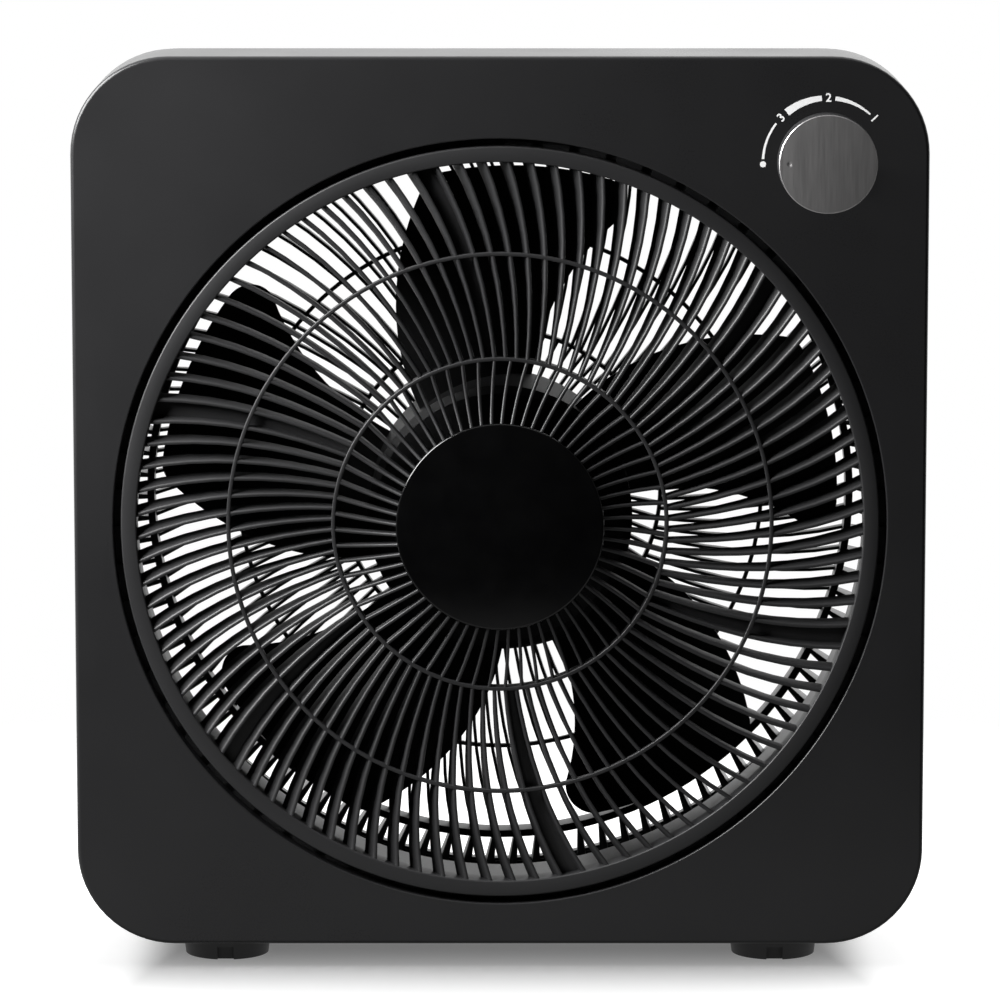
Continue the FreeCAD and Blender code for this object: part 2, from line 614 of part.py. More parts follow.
def blade_section(lead, trail, lead_depth, trail_depth, radius):
    """A thin cambered section: two arcs in one plane, closed by two short ends."""
    extra = BLADE_MARGIN * (lead_depth - trail_depth) / (trail - lead)
    lead_point = polar(radius, lead - BLADE_MARGIN, FRONT_Y + lead_depth + extra)
    trail_point = polar(radius, trail + BLADE_MARGIN, FRONT_Y + trail_depth - extra)
    middle = polar(radius, (lead + trail) / 2, FRONT_Y + (lead_depth + trail_depth) / 2 - BLADE_CAMBER)
    chord = (trail_point - lead_point).normalize()
    normal = (middle - lead_point).cross(chord).normalize()
    offset = normal.cross(chord).normalize() * BLADE_THICK
    near = Part.Arc(lead_point, middle, trail_point).toShape()
    far = Part.Arc(trail_point + offset, middle + offset, lead_point + offset).toShape()
    end = Part.makeLine(trail_point, trail_point + offset)
    start = Part.makeLine(lead_point + offset, lead_point)
    return Part.Wire([near, end, far, start])


def blade_outline():
    """The blade's outline seen along the axis, as a prism with round tip corners."""
    root = blade_root_radius()
    places = []
    for share, lead, trail, lead_depth, trail_depth in BLADE_STATIONS:
        radius = root + share * (ROTOR_RADIUS - root)
        places.append((polar(radius, lead, HUB_Y), polar(radius, trail, HUB_Y)))
    leading = Part.BSplineCurve()
    leading.interpolate([pair[0] for pair in places])
    trailing = Part.BSplineCurve()
    trailing.interpolate([pair[1] for pair in reversed(places)])
    tip_middle = (BLADE_STATIONS[-1][1] + BLADE_STATIONS[-1][2]) / 2
    root_middle = (BLADE_STATIONS[0][1] + BLADE_STATIONS[0][2]) / 2
    tip = Part.Arc(places[-1][0], polar(ROTOR_RADIUS, tip_middle, HUB_Y), places[-1][1]).toShape()
    base = Part.Arc(places[0][1], polar(root, root_middle, HUB_Y), places[0][0]).toShape()
    outline = Part.Wire([leading.toShape(), tip, trailing.toShape(), base])
    prism = Part.Face(outline).extrude(BACK * (FRONT_DEPTH + REAR_DEPTH))
    corners = []
    for edge in prism.Edges:
        ends = edge.Vertexes
        if len(ends) == 2 and abs(ends[0].Y - ends[1].Y) > FRONT_DEPTH:
            distance = math.hypot(ends[0].X, ends[0].Z - FAN_Z)
            if abs(distance - ROTOR_RADIUS) < 1e-3:
                corners.append(edge)
    return prism.makeFillet(BLADE_TIP_ROUND, corners)


def rotor_blade():
    root = blade_root_radius()
    sections = []
    for share, lead, trail, lead_depth, trail_depth in BLADE_STATIONS:
        radius = root - OVER + share * (ROTOR_RADIUS + 2 * OVER - root)
        sections.append(blade_section(lead, trail, lead_depth, trail_depth, radius))
    sheet = Part.makeLoft(sections, True, False)
    return sheet.common(blade_outline())


def fan_rotor():
    """Cup hub with its shaft boss and five swept blades."""
    inner = HUB_RADIUS - HUB_WALL
    hub = turned([(SHAFT_RADIUS, HUB_Y), (HUB_RADIUS - HUB_EDGE, HUB_Y), (HUB_RADIUS, HUB_Y + HUB_EDGE),
                  (HUB_RADIUS, HUB_END_Y), (inner, HUB_END_Y), (inner, HUB_Y + HUB_WALL),
                  (HUB_BOSS_RADIUS, HUB_Y + HUB_WALL), (HUB_BOSS_RADIUS, HUB_BOSS_END_Y),
                  (SHAFT_RADIUS, HUB_BOSS_END_Y)])
    blade = rotor_blade()
    blades = []
    for index in range(BLADE_COUNT):
        turned_blade = blade.copy()
        turned_blade.rotate(Vector(0, 0, FAN_Z), BACK, -index * 360 / BLADE_COUNT)
        blades.append(turned_blade)
    rotor = hub.multiFuse(blades)
    rotor = rotor.cut(rod(0, FAN_Z, inner, HUB_BOSS_END_Y, HUB_END_Y + OVER))
    slot_y = HUB_BOSS_END_Y - 2 * PIN_RADIUS
    slot = block(-HUB_BOSS_RADIUS, HUB_BOSS_RADIUS, slot_y, slot_y + 3 * PIN_RADIUS,
                 FAN_Z - PIN_RADIUS, FAN_Z + PIN_RADIUS)
    return rotor.cut(slot)


def motor_shaft():
    shaft = rod(0, FAN_Z, SHAFT_RADIUS, HUB_Y - NUT_HEIGHT, SHAFT_END_Y)
    return shaft.cut(rod_along_x(PIN_RADIUS))


def rod_along_x(radius):
    """The cylinder across the shaft that the drive pin fills."""
    y = HUB_BOSS_END_Y - PIN_RADIUS
    return Part.makeCylinder(radius, PIN_LENGTH, Vector(-PIN_LENGTH / 2, y, FAN_Z), Vector(1, 0, 0))


def drive_pin():
    return rod_along_x(PIN_RADIUS)


def rotor_nut():
    """The round nut that holds the rotor on its shaft, with grip flutes."""
    body = tube(0, FAN_Z, NUT_RADIUS, SHAFT_RADIUS, HUB_Y - NUT_HEIGHT, HUB_Y)
    flutes = []
    for index in range(NUT_FLUTES):
        point = polar(NUT_RADIUS + NUT_FLUTE_OUT, index * 360 / NUT_FLUTES, 0)
        flutes.append(rod(point.x, point.z, NUT_FLUTE_RADIUS, HUB_Y - NUT_HEIGHT - OVER, HUB_Y - NUT_FLANGE))
    return body.cut(flutes)


def rotor_core():
    return tube(0, FAN_Z, ROTOR_CORE_RADIUS, SHAFT_RADIUS, STATOR_Y, STATOR_END_Y)


# ---------------------------------------------------------------- motor
def motor_shield(wall_y, rim_y):
    """A cup-shaped end shield with a bearing seat, from its outer wall to its rim."""
    inward = 1 if rim_y > wall_y else -1
    wall = wall_y + inward * SHIELD_WALL
    seat_end = wall + inward * BEARING_LENGTH
    seat = BEARING_RADIUS + SHIELD_WALL
    hole = SHAFT_RADIUS + SHAFT_HOLE_GAP
    inside = MOTOR_RADIUS - SHIELD_WALL
    profile = [(hole, wall_y), (MOTOR_RADIUS - MOTOR_CHAMFER, wall_y),
               (MOTOR_RADIUS, wall_y + inward * MOTOR_CHAMFER), (MOTOR_RADIUS, rim_y), (inside, rim_y),
               (inside, wall), (seat, wall), (seat, seat_end), (BEARING_RADIUS, seat_end),
               (BEARING_RADIUS, wall), (hole, wall)]
    holes = [rod(x, z, SCREW_RADIUS + FIT, min(wall_y, wall) - OVER, max(wall_y, wall) + OVER)
             for x, z in motor_screw_places()]
    return turned(profile).cut(holes)


def motor_bearing(start_y):
    return tube(0, FAN_Z, BEARING_RADIUS, SHAFT_RADIUS + BEARING_CLEARANCE, start_y, start_y + BEARING_LENGTH)


def stator_core():
    return tube(0, FAN_Z, MOTOR_RADIUS - STATOR_GAP, BORE_RADIUS + STATOR_BORE_EXTRA, STATOR_Y, STATOR_END_Y)


def stator_winding():
    """Both end turns, joined through the core's bore."""
    inner = BORE_RADIUS + AIR_GAP
    outer = MOTOR_RADIUS - WINDING_INSET
    core = BORE_RADIUS + STATOR_BORE_EXTRA
    front = STATOR_Y - WINDING_REACH
    back = STATOR_END_Y + WINDING_REACH
    return turned([(inner, front), (outer, front), (outer, STATOR_Y), (core, STATOR_Y),
                   (core, STATOR_END_Y), (outer, STATOR_END_Y), (outer, back), (inner, back)])


def motor_screw_places():
    reach = MOTOR_SCREW_REACH
    return [(reach * sx, FAN_Z + reach * sz) for sx in (-1, 1) for sz in (-1, 1)]


def screw(x, z, head_y, grip, head_radius):
    """A pan-head screw along Y. Its head stands behind head_y and its thread runs forward."""
    thread = rod(x, z, SCREW_RADIUS, head_y - grip, head_y)
    return thread.fuse(rod(x, z, head_radius, head_y, head_y + SCREW_HEAD_HEIGHT))


def screws(places, head_y, grip, head_radius=SCREW_HEAD_RADIUS):
    return Part.makeCompound([screw(x, z, head_y, grip, head_radius) for x, z in places])


# ---------------------------------------------------------------- rear guard
def guard_sweep(radius):
    return sweep_angle(min(radius, GUARD_THICK_RING_RADIUS))


def fin_sweep(radius):
    share = (radius - GUARD_THICK_RING_RADIUS) / (GUARD_FIN_END - GUARD_THICK_RING_RADIUS)
    return guard_sweep(GUARD_THICK_RING_RADIUS) - GUARD_FIN_TURN * share


def guard_vane(start, radii, sweep, thick, fronts):
    """One upright vane of the guard, lofted through flat sections along its curve."""
    sections = []
    for radius, front_y in zip(radii, fronts):
        half = math.degrees(thick / 2 / radius)
        angle = start + sweep(radius)
        back = BACK * (GUARD_END_Y - front_y)
        corners = [polar(radius, angle - half, front_y), polar(radius, angle + half, front_y)]
        corners += [corners[1] + back, corners[0] + back]
        sections.append(Part.makePolygon(corners + corners[:1]))
    return Part.makeLoft(sections, True, True)


def guard_screw_places():
    radius = GUARD_RADIUS - GUARD_RIM_WIDTH / 2
    places = []
    for index in range(GUARD_SCREW_COUNT):
        point = polar(radius, index * 360 / GUARD_SCREW_COUNT, 0)
        places.append((point.x, point.z))
    return places


def guard_rim():
    """The flat rim that lies on the rear face."""
    return tube(0, FAN_Z, GUARD_RADIUS, GUARD_RIM_INNER, REAR_Y, GUARD_END_Y)


def motor_plate():
    """The dished plate in the middle of the guard that carries the motor."""
    plate = rod(0, FAN_Z, GUARD_PLATE_RADIUS, REAR_Y, GUARD_END_Y)
    dish = rod(0, FAN_Z, GUARD_PLATE_RADIUS - WALL, REAR_Y + GUARD_PLATE_THICK, GUARD_END_Y + OVER)
    return plate.cut(dish)


def rear_guard():
    """Flat guard with thin curved vanes, three rings, deep outer fins and the motor plate."""
    thick_outer = GUARD_THICK_RING_RADIUS + GUARD_THICK_RING_WIDTH / 2
    thick_inner = GUARD_THICK_RING_RADIUS - GUARD_THICK_RING_WIDTH / 2
    pieces = [tube(0, FAN_Z, thick_outer, thick_inner, GUARD_RING_Y, GUARD_END_Y),
              thin_ring(MIDDLE_RING_RADIUS, REAR_Y, THIN_RING_DEPTH),
              thin_ring(INNER_RING_RADIUS, REAR_Y, GUARD_DEPTH), motor_plate()]
    radii = [INNER_RING_RADIUS, MIDDLE_RING_RADIUS, GUARD_THICK_RING_RADIUS]
    fin_radii = [GUARD_THICK_RING_RADIUS, GUARD_FIN_END]
    for index in range(GUARD_VANE_COUNT):
        start = index * 360 / GUARD_VANE_COUNT
        pieces.append(guard_vane(start, radii, guard_sweep, GUARD_VANE_THICK, [REAR_Y] * 3))
        pieces.append(guard_vane(start, fin_radii, fin_sweep, GUARD_FIN_THICK, [GUARD_RING_Y, GUARD_FIN_Y]))
    inner_radii = [GUARD_PLATE_RADIUS - OVER, INNER_RING_RADIUS]
    for index in range(GUARD_INNER_VANE_COUNT):
        start = index * 360 / GUARD_INNER_VANE_COUNT
        pieces.append(guard_vane(start, inner_radii, inner_sweep_angle, GUARD_VANE_THICK, [REAR_Y] * 2))
    guard = guard_rim().multiFuse(pieces)
    holes = [rod(x, z, SCREW_RADIUS + FIT, REAR_Y - OVER, GUARD_END_Y + OVER)
             for x, z in guard_screw_places() + motor_screw_places()]
    holes += [rod(x, z, GUARD_HEAD_RADIUS + SEAT_GAP / 2, GUARD_SEAT_Y, GUARD_END_Y + OVER)
              for x, z in guard_screw_places()]
    return guard.cut(holes)


# ---------------------------------------------------------------- speed switch and knob
def rotary_switch():
    body = rod(KNOB_X, KNOB_Z, SWITCH_RADIUS, PANEL_BACK_Y, SWITCH_END_Y)
    pieces = [rod(KNOB_X, KNOB_Z, SWITCH_BUSH_RADIUS, BUSH_FRONT_Y, PANEL_BACK_Y)]
    for index in range(SWITCH_TABS):
        x = KNOB_X + SWITCH_TAB_PITCH * (index - (SWITCH_TABS - 1) / 2)
        pieces.append(block(x - SWITCH_TAB_THICK / 2, x + SWITCH_TAB_THICK / 2, SWITCH_END_Y,
                            SWITCH_END_Y + SWITCH_TAB_REACH, KNOB_Z - SWITCH_TAB_WIDTH / 2,
                            KNOB_Z + SWITCH_TAB_WIDTH / 2))
    bore = rod(KNOB_X, KNOB_Z, SWITCH_SHAFT_RADIUS + BEARING_CLEARANCE, BUSH_FRONT_Y - OVER, SWITCH_BORE_END_Y)
    return body.multiFuse(pieces).cut(bore)


def switch_nut():
    """The hexagon nut that holds the switch's bush in the panel."""
    radius = SWITCH_BUSH_RADIUS + SWITCH_NUT_EXTRA
    y = FRONT_Y - SWITCH_NUT_HEIGHT
    points = []
    for index in range(7):
        angle = math.radians(60 * index)
        points.append(Vector(KNOB_X + radius * math.cos(angle), y, KNOB_Z + radius * math.sin(angle)))
    nut = Part.Face(Part.makePolygon(points)).extrude(BACK * SWITCH_NUT_HEIGHT)
    return nut.cut(rod(KNOB_X, KNOB_Z, SWITCH_BUSH_RADIUS + FIT, y - OVER, FRONT_Y + OVER))


def switch_shaft():
    """The switch's shaft, with the flat that the knob's socket grips."""
    end = SWITCH_BORE_END_Y - SHAFT_BASE_GAP
    shaft = rod(KNOB_X, KNOB_Z, SWITCH_SHAFT_RADIUS, KNOB_SOCKET_Y, end)
    reach = SWITCH_SHAFT_RADIUS + OVER
    flat = block(KNOB_X - reach, KNOB_X + reach, KNOB_SOCKET_Y - OVER, BUSH_FRONT_Y - SHAFT_BASE_GAP,
                 KNOB_Z + SWITCH_SHAFT_RADIUS / 2, KNOB_Z + reach)
    return shaft.cut(flat)


def control_knob():
    """A hollow knob with a D-shaped socket for the switch shaft."""
    skirt = Part.makeCone(KNOB_RADIUS - KNOB_TAPER, KNOB_RADIUS, KNOB_BACK_Y - KNOB_FRONT_Y,
                          Vector(KNOB_X, KNOB_FRONT_Y, KNOB_Z), BACK)
    hollow = rod(KNOB_X, KNOB_Z, KNOB_RADIUS - KNOB_WALL, KNOB_SOCKET_Y, KNOB_BACK_Y + OVER)
    socket = rod(KNOB_X, KNOB_Z, SWITCH_SHAFT_RADIUS + KNOB_WALL, KNOB_SOCKET_Y - KNOB_WALL / 2,
                 BUSH_FRONT_Y - SHAFT_BASE_GAP)
    knob = skirt.cut(hollow).fuse(socket)
    return knob.cut(switch_shaft())


def knob_cap():
    """The metal-look disc on the knob, with a dimple that points at the setting."""
    disc = rod(KNOB_X, KNOB_Z, KNOB_RADIUS - KNOB_TAPER, KNOB_FACE_Y, KNOB_FRONT_Y)
    disc = disc.makeChamfer(KNOB_CAP_CHAMFER, edges_in_plane(disc, KNOB_FACE_Y, 1))
    return disc.cut(rod(KNOB_X - DIMPLE_REACH, KNOB_Z, DIMPLE_RADIUS, KNOB_FACE_Y - OVER,
                        KNOB_FACE_Y + DIMPLE_DEPTH))


# ---------------------------------------------------------------- electrical pieces in the rear housing
def run_capacitor():
    """A boxed capacitor on the inside of the rear wall, in an upper corner."""
    x = CAPACITOR_SIDE - BODY_SIDE
    z = BODY_TOP - CAPACITOR_DROP
    body = block(x, x + CAPACITOR_WIDTH, INNER_REAR_Y - CAPACITOR_DEPTH, INNER_REAR_Y,
                 z - CAPACITOR_HEIGHT, z)
    upright = [edge for edge in body.Edges if abs(edge.BoundBox.YLength - CAPACITOR_DEPTH) < 1e-6]
    return body.makeFillet(CAPACITOR_ROUND, upright)


def terminal_block():
    """A three-way block on the inside of the rear wall, beside the cord gland."""
    x = GLAND_X - TERMINAL_OFFSET
    z = GLAND_Z + TERMINAL_RISE
    body = block(x - TERMINAL_WIDTH / 2, x + TERMINAL_WIDTH / 2, INNER_REAR_Y - TERMINAL_DEPTH,
                 INNER_REAR_Y, z, z + TERMINAL_HEIGHT)
    first = z + (TERMINAL_HEIGHT - TERMINAL_PITCH * (TERMINAL_WAYS - 1)) / 2
    holes = [rod(x, first + TERMINAL_PITCH * index, TERMINAL_HOLE_RADIUS,
                 INNER_REAR_Y - TERMINAL_DEPTH - OVER, INNER_REAR_Y - TERMINAL_HOLE_FLOOR)
             for index in range(TERMINAL_WAYS)]
    return body.cut(holes)


# ---------------------------------------------------------------- feet
def foot_rise(name):
    """The highest that the body's bottom stands over a foot: the rear housing rises to the back."""
    return REAR_DRAFT if name.startswith("rear") else 0


def foot(name, x, y):
    """A tapered round foot with a notch at its front and a recess for its pad."""
    slope = FOOT_TAPER / (FOOT_HEIGHT - PAD_SHOW)
    height = FOOT_HEIGHT - PAD_SHOW + foot_rise(name)
    top_radius = FOOT_RADIUS + slope * foot_rise(name)
    body = Part.makeCone(FOOT_RADIUS - FOOT_TAPER, top_radius, height, Vector(x, y, PAD_SHOW), UP)
    notch = block(x - FOOT_NOTCH / 2, x + FOOT_NOTCH / 2, y - FOOT_RADIUS - OVER,
                  y - FOOT_RADIUS + FOOT_NOTCH_DEPTH, 0, FOOT_HEIGHT - FOOT_NOTCH_DEPTH)
    recess = post(x, y, PAD_RADIUS + FIT, 0, PAD_THICK)
    head_room = post(x, y, SCREW_HEAD_RADIUS + SEAT_GAP, 0, FOOT_HEIGHT - FOOT_FLOOR)
    hole = post(x, y, SCREW_RADIUS + FIT, 0, FOOT_HEIGHT + foot_rise(name) + OVER)
    cutters = [notch, recess, head_room, hole]
    if foot_rise(name):
        cutters.append(rear_envelope())
    return body.cut(cutters)


def foot_pad(x, y):
    return post(x, y, PAD_RADIUS, 0, PAD_THICK)


def foot_screw(name, x, y):
    head_z = FOOT_HEIGHT - FOOT_FLOOR
    head = post(x, y, SCREW_HEAD_RADIUS, head_z - SCREW_HEAD_HEIGHT, head_z)
    return head.fuse(post(x, y, SCREW_RADIUS, head_z, FOOT_HEIGHT + foot_rise(name) + FOOT_SCREW_GRIP))


# ---------------------------------------------------------------- all the nodes
def nodes():
    parts = {
        "front_housing": front_housing(),
        "rear_housing": rear_housing(),
        "guide_ring": guide_ring(),
        "guide_ring_screws": screws(ear_places(), GUIDE_END_Y, EAR_SCREW_GRIP),
        "rear_guard": rear_guard(),
        "rear_guard_screws": screws(guard_screw_places(), GUARD_SEAT_Y, GUARD_SCREW_GRIP, GUARD_HEAD_RADIUS),
        "housing_screws": screws(corner_places(), PARTING_Y + HOUSING_SCREW_SEAT,
                                 HOUSING_SCREW_SEAT + HOUSING_SCREW_GRIP),
        "cord_gland": cord_gland(),
        "terminal_block": terminal_block(),
        "run_capacitor": run_capacitor(),
        "motor_front_shield": motor_shield(MOTOR_Y, STATOR_Y),
        "motor_rear_shield": motor_shield(REAR_Y, STATOR_END_Y),
        "stator_core": stator_core(),
        "stator_winding": stator_winding(),
        "front_bearing": motor_bearing(MOTOR_Y + SHIELD_WALL),
        "rear_bearing": motor_bearing(REAR_Y - SHIELD_WALL - BEARING_LENGTH),
        "motor_screws": screws(motor_screw_places(), REAR_Y + GUARD_PLATE_THICK, MOTOR_SCREW_GRIP),
        "rotary_switch": rotary_switch(),
        "switch_nut": switch_nut(),
        "front_grille": front_grille(),
        "grille_cap": grille_cap(),
        "fan_rotor": fan_rotor(),
        "rotor_nut": rotor_nut(),
        "motor_shaft": motor_shaft(),
        "drive_pin": drive_pin(),
        "rotor_core": rotor_core(),
        "control_knob": control_knob(),
        "knob_cap": knob_cap(),
        "switch_shaft": switch_shaft(),
    }
    for name, x, y in foot_places():
        parts["foot_" + name] = foot(name, x, y)
        parts["foot_pad_" + name] = foot_pad(x, y)
    parts["foot_screws"] = Part.makeCompound([foot_screw(*place) for place in foot_places()])
    return parts


os.makedirs("parts", exist_ok=True)
for node, shape in nodes().items():
    shape.exportStep("parts/" + node + ".step")
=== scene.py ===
"""Looks of a black box fan with a domed louvre grille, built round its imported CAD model."""
import math

import bmesh
import bpy
from mathutils import Matrix, Vector


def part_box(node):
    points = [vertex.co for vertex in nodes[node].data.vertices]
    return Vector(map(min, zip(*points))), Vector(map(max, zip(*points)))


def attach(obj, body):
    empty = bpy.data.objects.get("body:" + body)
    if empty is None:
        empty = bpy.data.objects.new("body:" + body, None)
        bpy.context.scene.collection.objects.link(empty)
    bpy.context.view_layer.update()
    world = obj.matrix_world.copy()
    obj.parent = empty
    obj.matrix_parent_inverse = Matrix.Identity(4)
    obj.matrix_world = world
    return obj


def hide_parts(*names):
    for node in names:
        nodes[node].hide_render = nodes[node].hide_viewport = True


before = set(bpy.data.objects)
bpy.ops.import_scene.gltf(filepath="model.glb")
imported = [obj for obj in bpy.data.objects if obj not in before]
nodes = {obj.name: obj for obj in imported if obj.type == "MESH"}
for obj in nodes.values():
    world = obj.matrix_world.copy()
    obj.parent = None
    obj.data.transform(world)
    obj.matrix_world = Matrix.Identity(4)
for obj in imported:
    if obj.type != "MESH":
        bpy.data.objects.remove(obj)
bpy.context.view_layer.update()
MM = 0.001

# ---------------------------------------------------------------- places taken from the imported CAD parts
grille_low, grille_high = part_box("front_grille")
cap_low, cap_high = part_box("grille_cap")
front_low, front_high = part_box("front_housing")
guard_low, guard_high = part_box("rear_guard")
knob_low, knob_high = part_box("control_knob")
knob_cap_low, knob_cap_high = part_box("knob_cap")

AXIS_Z = (guard_low.z + guard_high.z) / 2
FRONT_Y = front_low.y
PARTING_Y = front_high.y
REAR_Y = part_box("rear_housing")[1].y
CAP_RADIUS = (cap_high.x - cap_low.x) / 2
FLANGE_RADIUS = (grille_high.x - grille_low.x) / 2
GUARD_RADIUS = (guard_high.x - guard_low.x) / 2
KNOB_X = (knob_low.x + knob_high.x) / 2
KNOB_Z = (knob_low.z + knob_high.z) / 2

# ---------------------------------------------------------------- sizes
# the grille wheel
GRILLE_RADIUS = FLANGE_RADIUS - 8 * MM
RIM_INNER_RADIUS = GRILLE_RADIUS - 8.4 * MM
RIM_ROUND = 0.9 * MM
INNER_RING = 89.3 * MM
MIDDLE_RING = 145.5 * MM
RING_HALF_WIDTH = 1.1 * MM
VANES = 96
VANE_THICK = 2.2 * MM
VANE_DEPTH = 9.5 * MM
VANE_START = math.radians(1.8)
VANE_TURN_MIDDLE = math.radians(3.5)    # how far a vane has turned at the middle ring
VANE_TURN_RIM = math.radians(8)
VANE_LEAN = 5.85 * MM                   # how far a back edge stands to one side at the rim
LEAN_AXIS = math.radians(46)            # where round the wheel the lean is strongest
VANE_SETBACK = 1.5 * MM
DOME_POWER = 8
INNER_VANES = 64
INNER_VANE_THICK = 1.8 * MM
INNER_VANE_DEPTH = 8 * MM
INNER_VANE_TURN = math.radians(2.8)
RIBS = 6
RIB_FIRST = 8                           # the gap between vanes that holds the first rib
RIB_FLOOR = 6 * MM                      # how far a rib lies behind the vanes' front edges
RIB_BACK = 1 * MM
FLANGE_TEETH = 64
FLANGE_NOTCH = 6 * MM
FLANGE_THICK = 2.5 * MM

# the opening of the front housing
OPENING_RADIUS = GRILLE_RADIUS + 4 * MM
OPENING_ROLL = 3 * MM
OPENING_EDGE = 0.9 * MM

# the rear guard
GUARD_VANES = 102
GUARD_INNER_VANES = 68
GUARD_VANE_THICK = 1.8 * MM
GUARD_PLATE = 66 * MM
GUARD_PLATE_WALL = 2.5 * MM
GUARD_PLATE_DEPTH = 4 * MM
GUARD_RING = 194 * MM
GUARD_RING_REACH = 9 * MM
FIN_END = GUARD_RADIUS - 6.4 * MM
FIN_THICK = 2 * MM
FIN_WIDENING = 1.4                      # how much wider a fin is at the rim, as a share of its thickness
FIN_TURN = math.radians(0.7)

# the knob and its print
KNOB_EDGE = 0.5 * MM
KNOB_DOME = 0.9 * MM
DIMPLE_PLACE = 20.5 * MM
DIMPLE_RADIUS = 1.25 * MM
DIMPLE_DEPTH = 0.4 * MM
DIAL_RADIUS = 34 * MM
PRINT_THICK = 0.04 * MM

AT_AXIS = 1e-5                          # where a lathed profile starts, so that its pole can close

# ---------------------------------------------------------------- light and camera levels
FLOOR_GLOW = 0.75
# the floor glows less under the fan than round it: a painted shadow there
PAINTED_SHADOW_GLOW = 0.15
FLOOR_BOUNCE = 0.30
FLOOR_FADE = (0.42, 0.72)               # where the floor starts and ends fading out
PAINTED_SHADOW_FADE = (-0.05, 0.09)             # where the painted shadow in the glow starts and ends fading out, counted from the fan's front
PAINTED_SHADOW_HALF_WIDTH = 0.185
PAINTED_SHADOW_SIDE_SHARPNESS = 4
REAR_LIGHT = 1.42
CAMERA_LENS = 211.78
CAMERA_DISTANCE = 3.204
CAMERA_RISE = math.radians(8.498)
CAMERA_AIM_Z = 0.24626


# ---------------------------------------------------------------- shader maths
class Value:
    """A shader socket that can be added, subtracted and multiplied in Python expressions."""

    def __init__(self, material, socket):
        self.material = material
        self.socket = socket

    def _math(self, operation, other, swapped=False):
        first, second = (other, self) if swapped else (self, other)
        return self.material.node("ShaderNodeMath", {"operation": operation}, first, second)

    def __add__(self, other):
        return self._math("ADD", other)

    def __radd__(self, other):
        return self._math("ADD", other, True)

    def __sub__(self, other):
        return self._math("SUBTRACT", other)

    def __rsub__(self, other):
        return self._math("SUBTRACT", other, True)

    def __mul__(self, other):
        return self._math("MULTIPLY", other)

    def __rmul__(self, other):
        return self._math("MULTIPLY", other, True)

    def __abs__(self):
        return self.material.node("ShaderNodeMath", {"operation": "ABSOLUTE"}, self)

    def or_more(self, other):
        """The larger of the two."""
        return self._math("MAXIMUM", other)


class Finish:
    """A node material under construction."""

    def __init__(self, name, colour, roughness, metallic=0.0, specular=0.5, coat=0.0):
        self.data = bpy.data.materials.new(name)
        self.data.use_nodes = True
        self.tree = self.data.node_tree
        self.shader = self.tree.nodes["Principled BSDF"]
        self.shader.inputs["Base Color"].default_value = (*colour, 1)
        self.shader.inputs["Roughness"].default_value = roughness
        self.shader.inputs["Metallic"].default_value = metallic
        self.shader.inputs["Specular IOR Level"].default_value = specular
        self.shader.inputs["Coat Weight"].default_value = coat
        self.place = self.node("ShaderNodeTexCoord", {}, output="Object")

    def node(self, kind, settings, *inputs, output=0, **named):
        """Adds a node: its type, its settings, then the values or links of its sockets."""
        made = self.tree.nodes.new(kind)
        for key, setting in settings.items():
            setattr(made, key, setting)
        pairs = list(zip(made.inputs, inputs))
        pairs += [(made.inputs[key.replace("_", " ")], value) for key, value in named.items()]
        for socket, value in pairs:
            if isinstance(value, Value):
                self.tree.links.new(value.socket, socket)
            elif value is not None:
                socket.default_value = value
        return Value(self, made.outputs[output])

    def stretch(self, x, y, z):
        """The Object coordinates, scaled."""
        return self.node("ShaderNodeVectorMath", {"operation": "MULTIPLY"}, self.place, (x, y, z))

    def axes(self):
        """The Object coordinates, one by one."""
        return [self.node("ShaderNodeSeparateXYZ", {}, self.place, output=axis) for axis in range(3)]

    def noise(self, scale, detail=3.0, roughness=0.5, where=None):
        return self.node("ShaderNodeTexNoise", {}, where or self.place, None, scale, detail, roughness)

    def ramp(self, value, low, high, to_low=0.0, to_high=1.0):
        return self.node("ShaderNodeMapRange", {}, value, low, high, to_low, to_high)

    def mix(self, factor, first, second):
        made = self.tree.nodes.new("ShaderNodeMix")
        made.data_type = "RGBA"
        sockets = made.inputs[0], made.inputs[6], made.inputs[7]
        for socket, value in zip(sockets, (factor, first, second)):
            if isinstance(value, Value):
                self.tree.links.new(value.socket, socket)
            else:
                socket.default_value = (*value, 1)
        return Value(self, made.outputs[2])

    def set(self, **sockets):
        for name, value in sockets.items():
            self.tree.links.new(value.socket, self.shader.inputs[name.replace("_", " ")])
        return self

    def bump(self, height, strength, distance):
        made = self.tree.nodes.new("ShaderNodeBump")
        made.inputs["Strength"].default_value = strength
        made.inputs["Distance"].default_value = distance
        self.tree.links.new(height.socket, made.inputs["Height"])
        self.tree.links.new(made.outputs[0], self.shader.inputs["Normal"])
        return self


# ---------------------------------------------------------------- materials
NOISE_SPAN = (0.3, 0.7)                 # the part of a noise's range that is used
GRAIN_HEIGHT = 0.2 * MM
SCRATCH_HEIGHT = 0.1 * MM


def moulded(name, shade, roughness, grain=1400.0, strength=0.05, spread=0.10, specular=0.5):
    """Moulded plastic: a fine spark-eroded grain and a slow drift of colour and sheen."""
    def cool(level):
        return level, level, level * 1.04

    finish = Finish(name, cool(shade), roughness, specular=specular)
    drift = finish.noise(9.0, 4.0)
    fine = finish.noise(grain, 2.0)
    sheen = drift * 0.7 + fine * 0.3
    finish.set(Base_Color=finish.mix(finish.ramp(drift, *NOISE_SPAN),
                                     cool(shade * (1 - spread)), cool(shade * (1 + spread))),
               Roughness=finish.ramp(sheen, *NOISE_SPAN, roughness - 0.05, roughness + 0.05))
    return finish.bump(fine, strength, GRAIN_HEIGHT).data


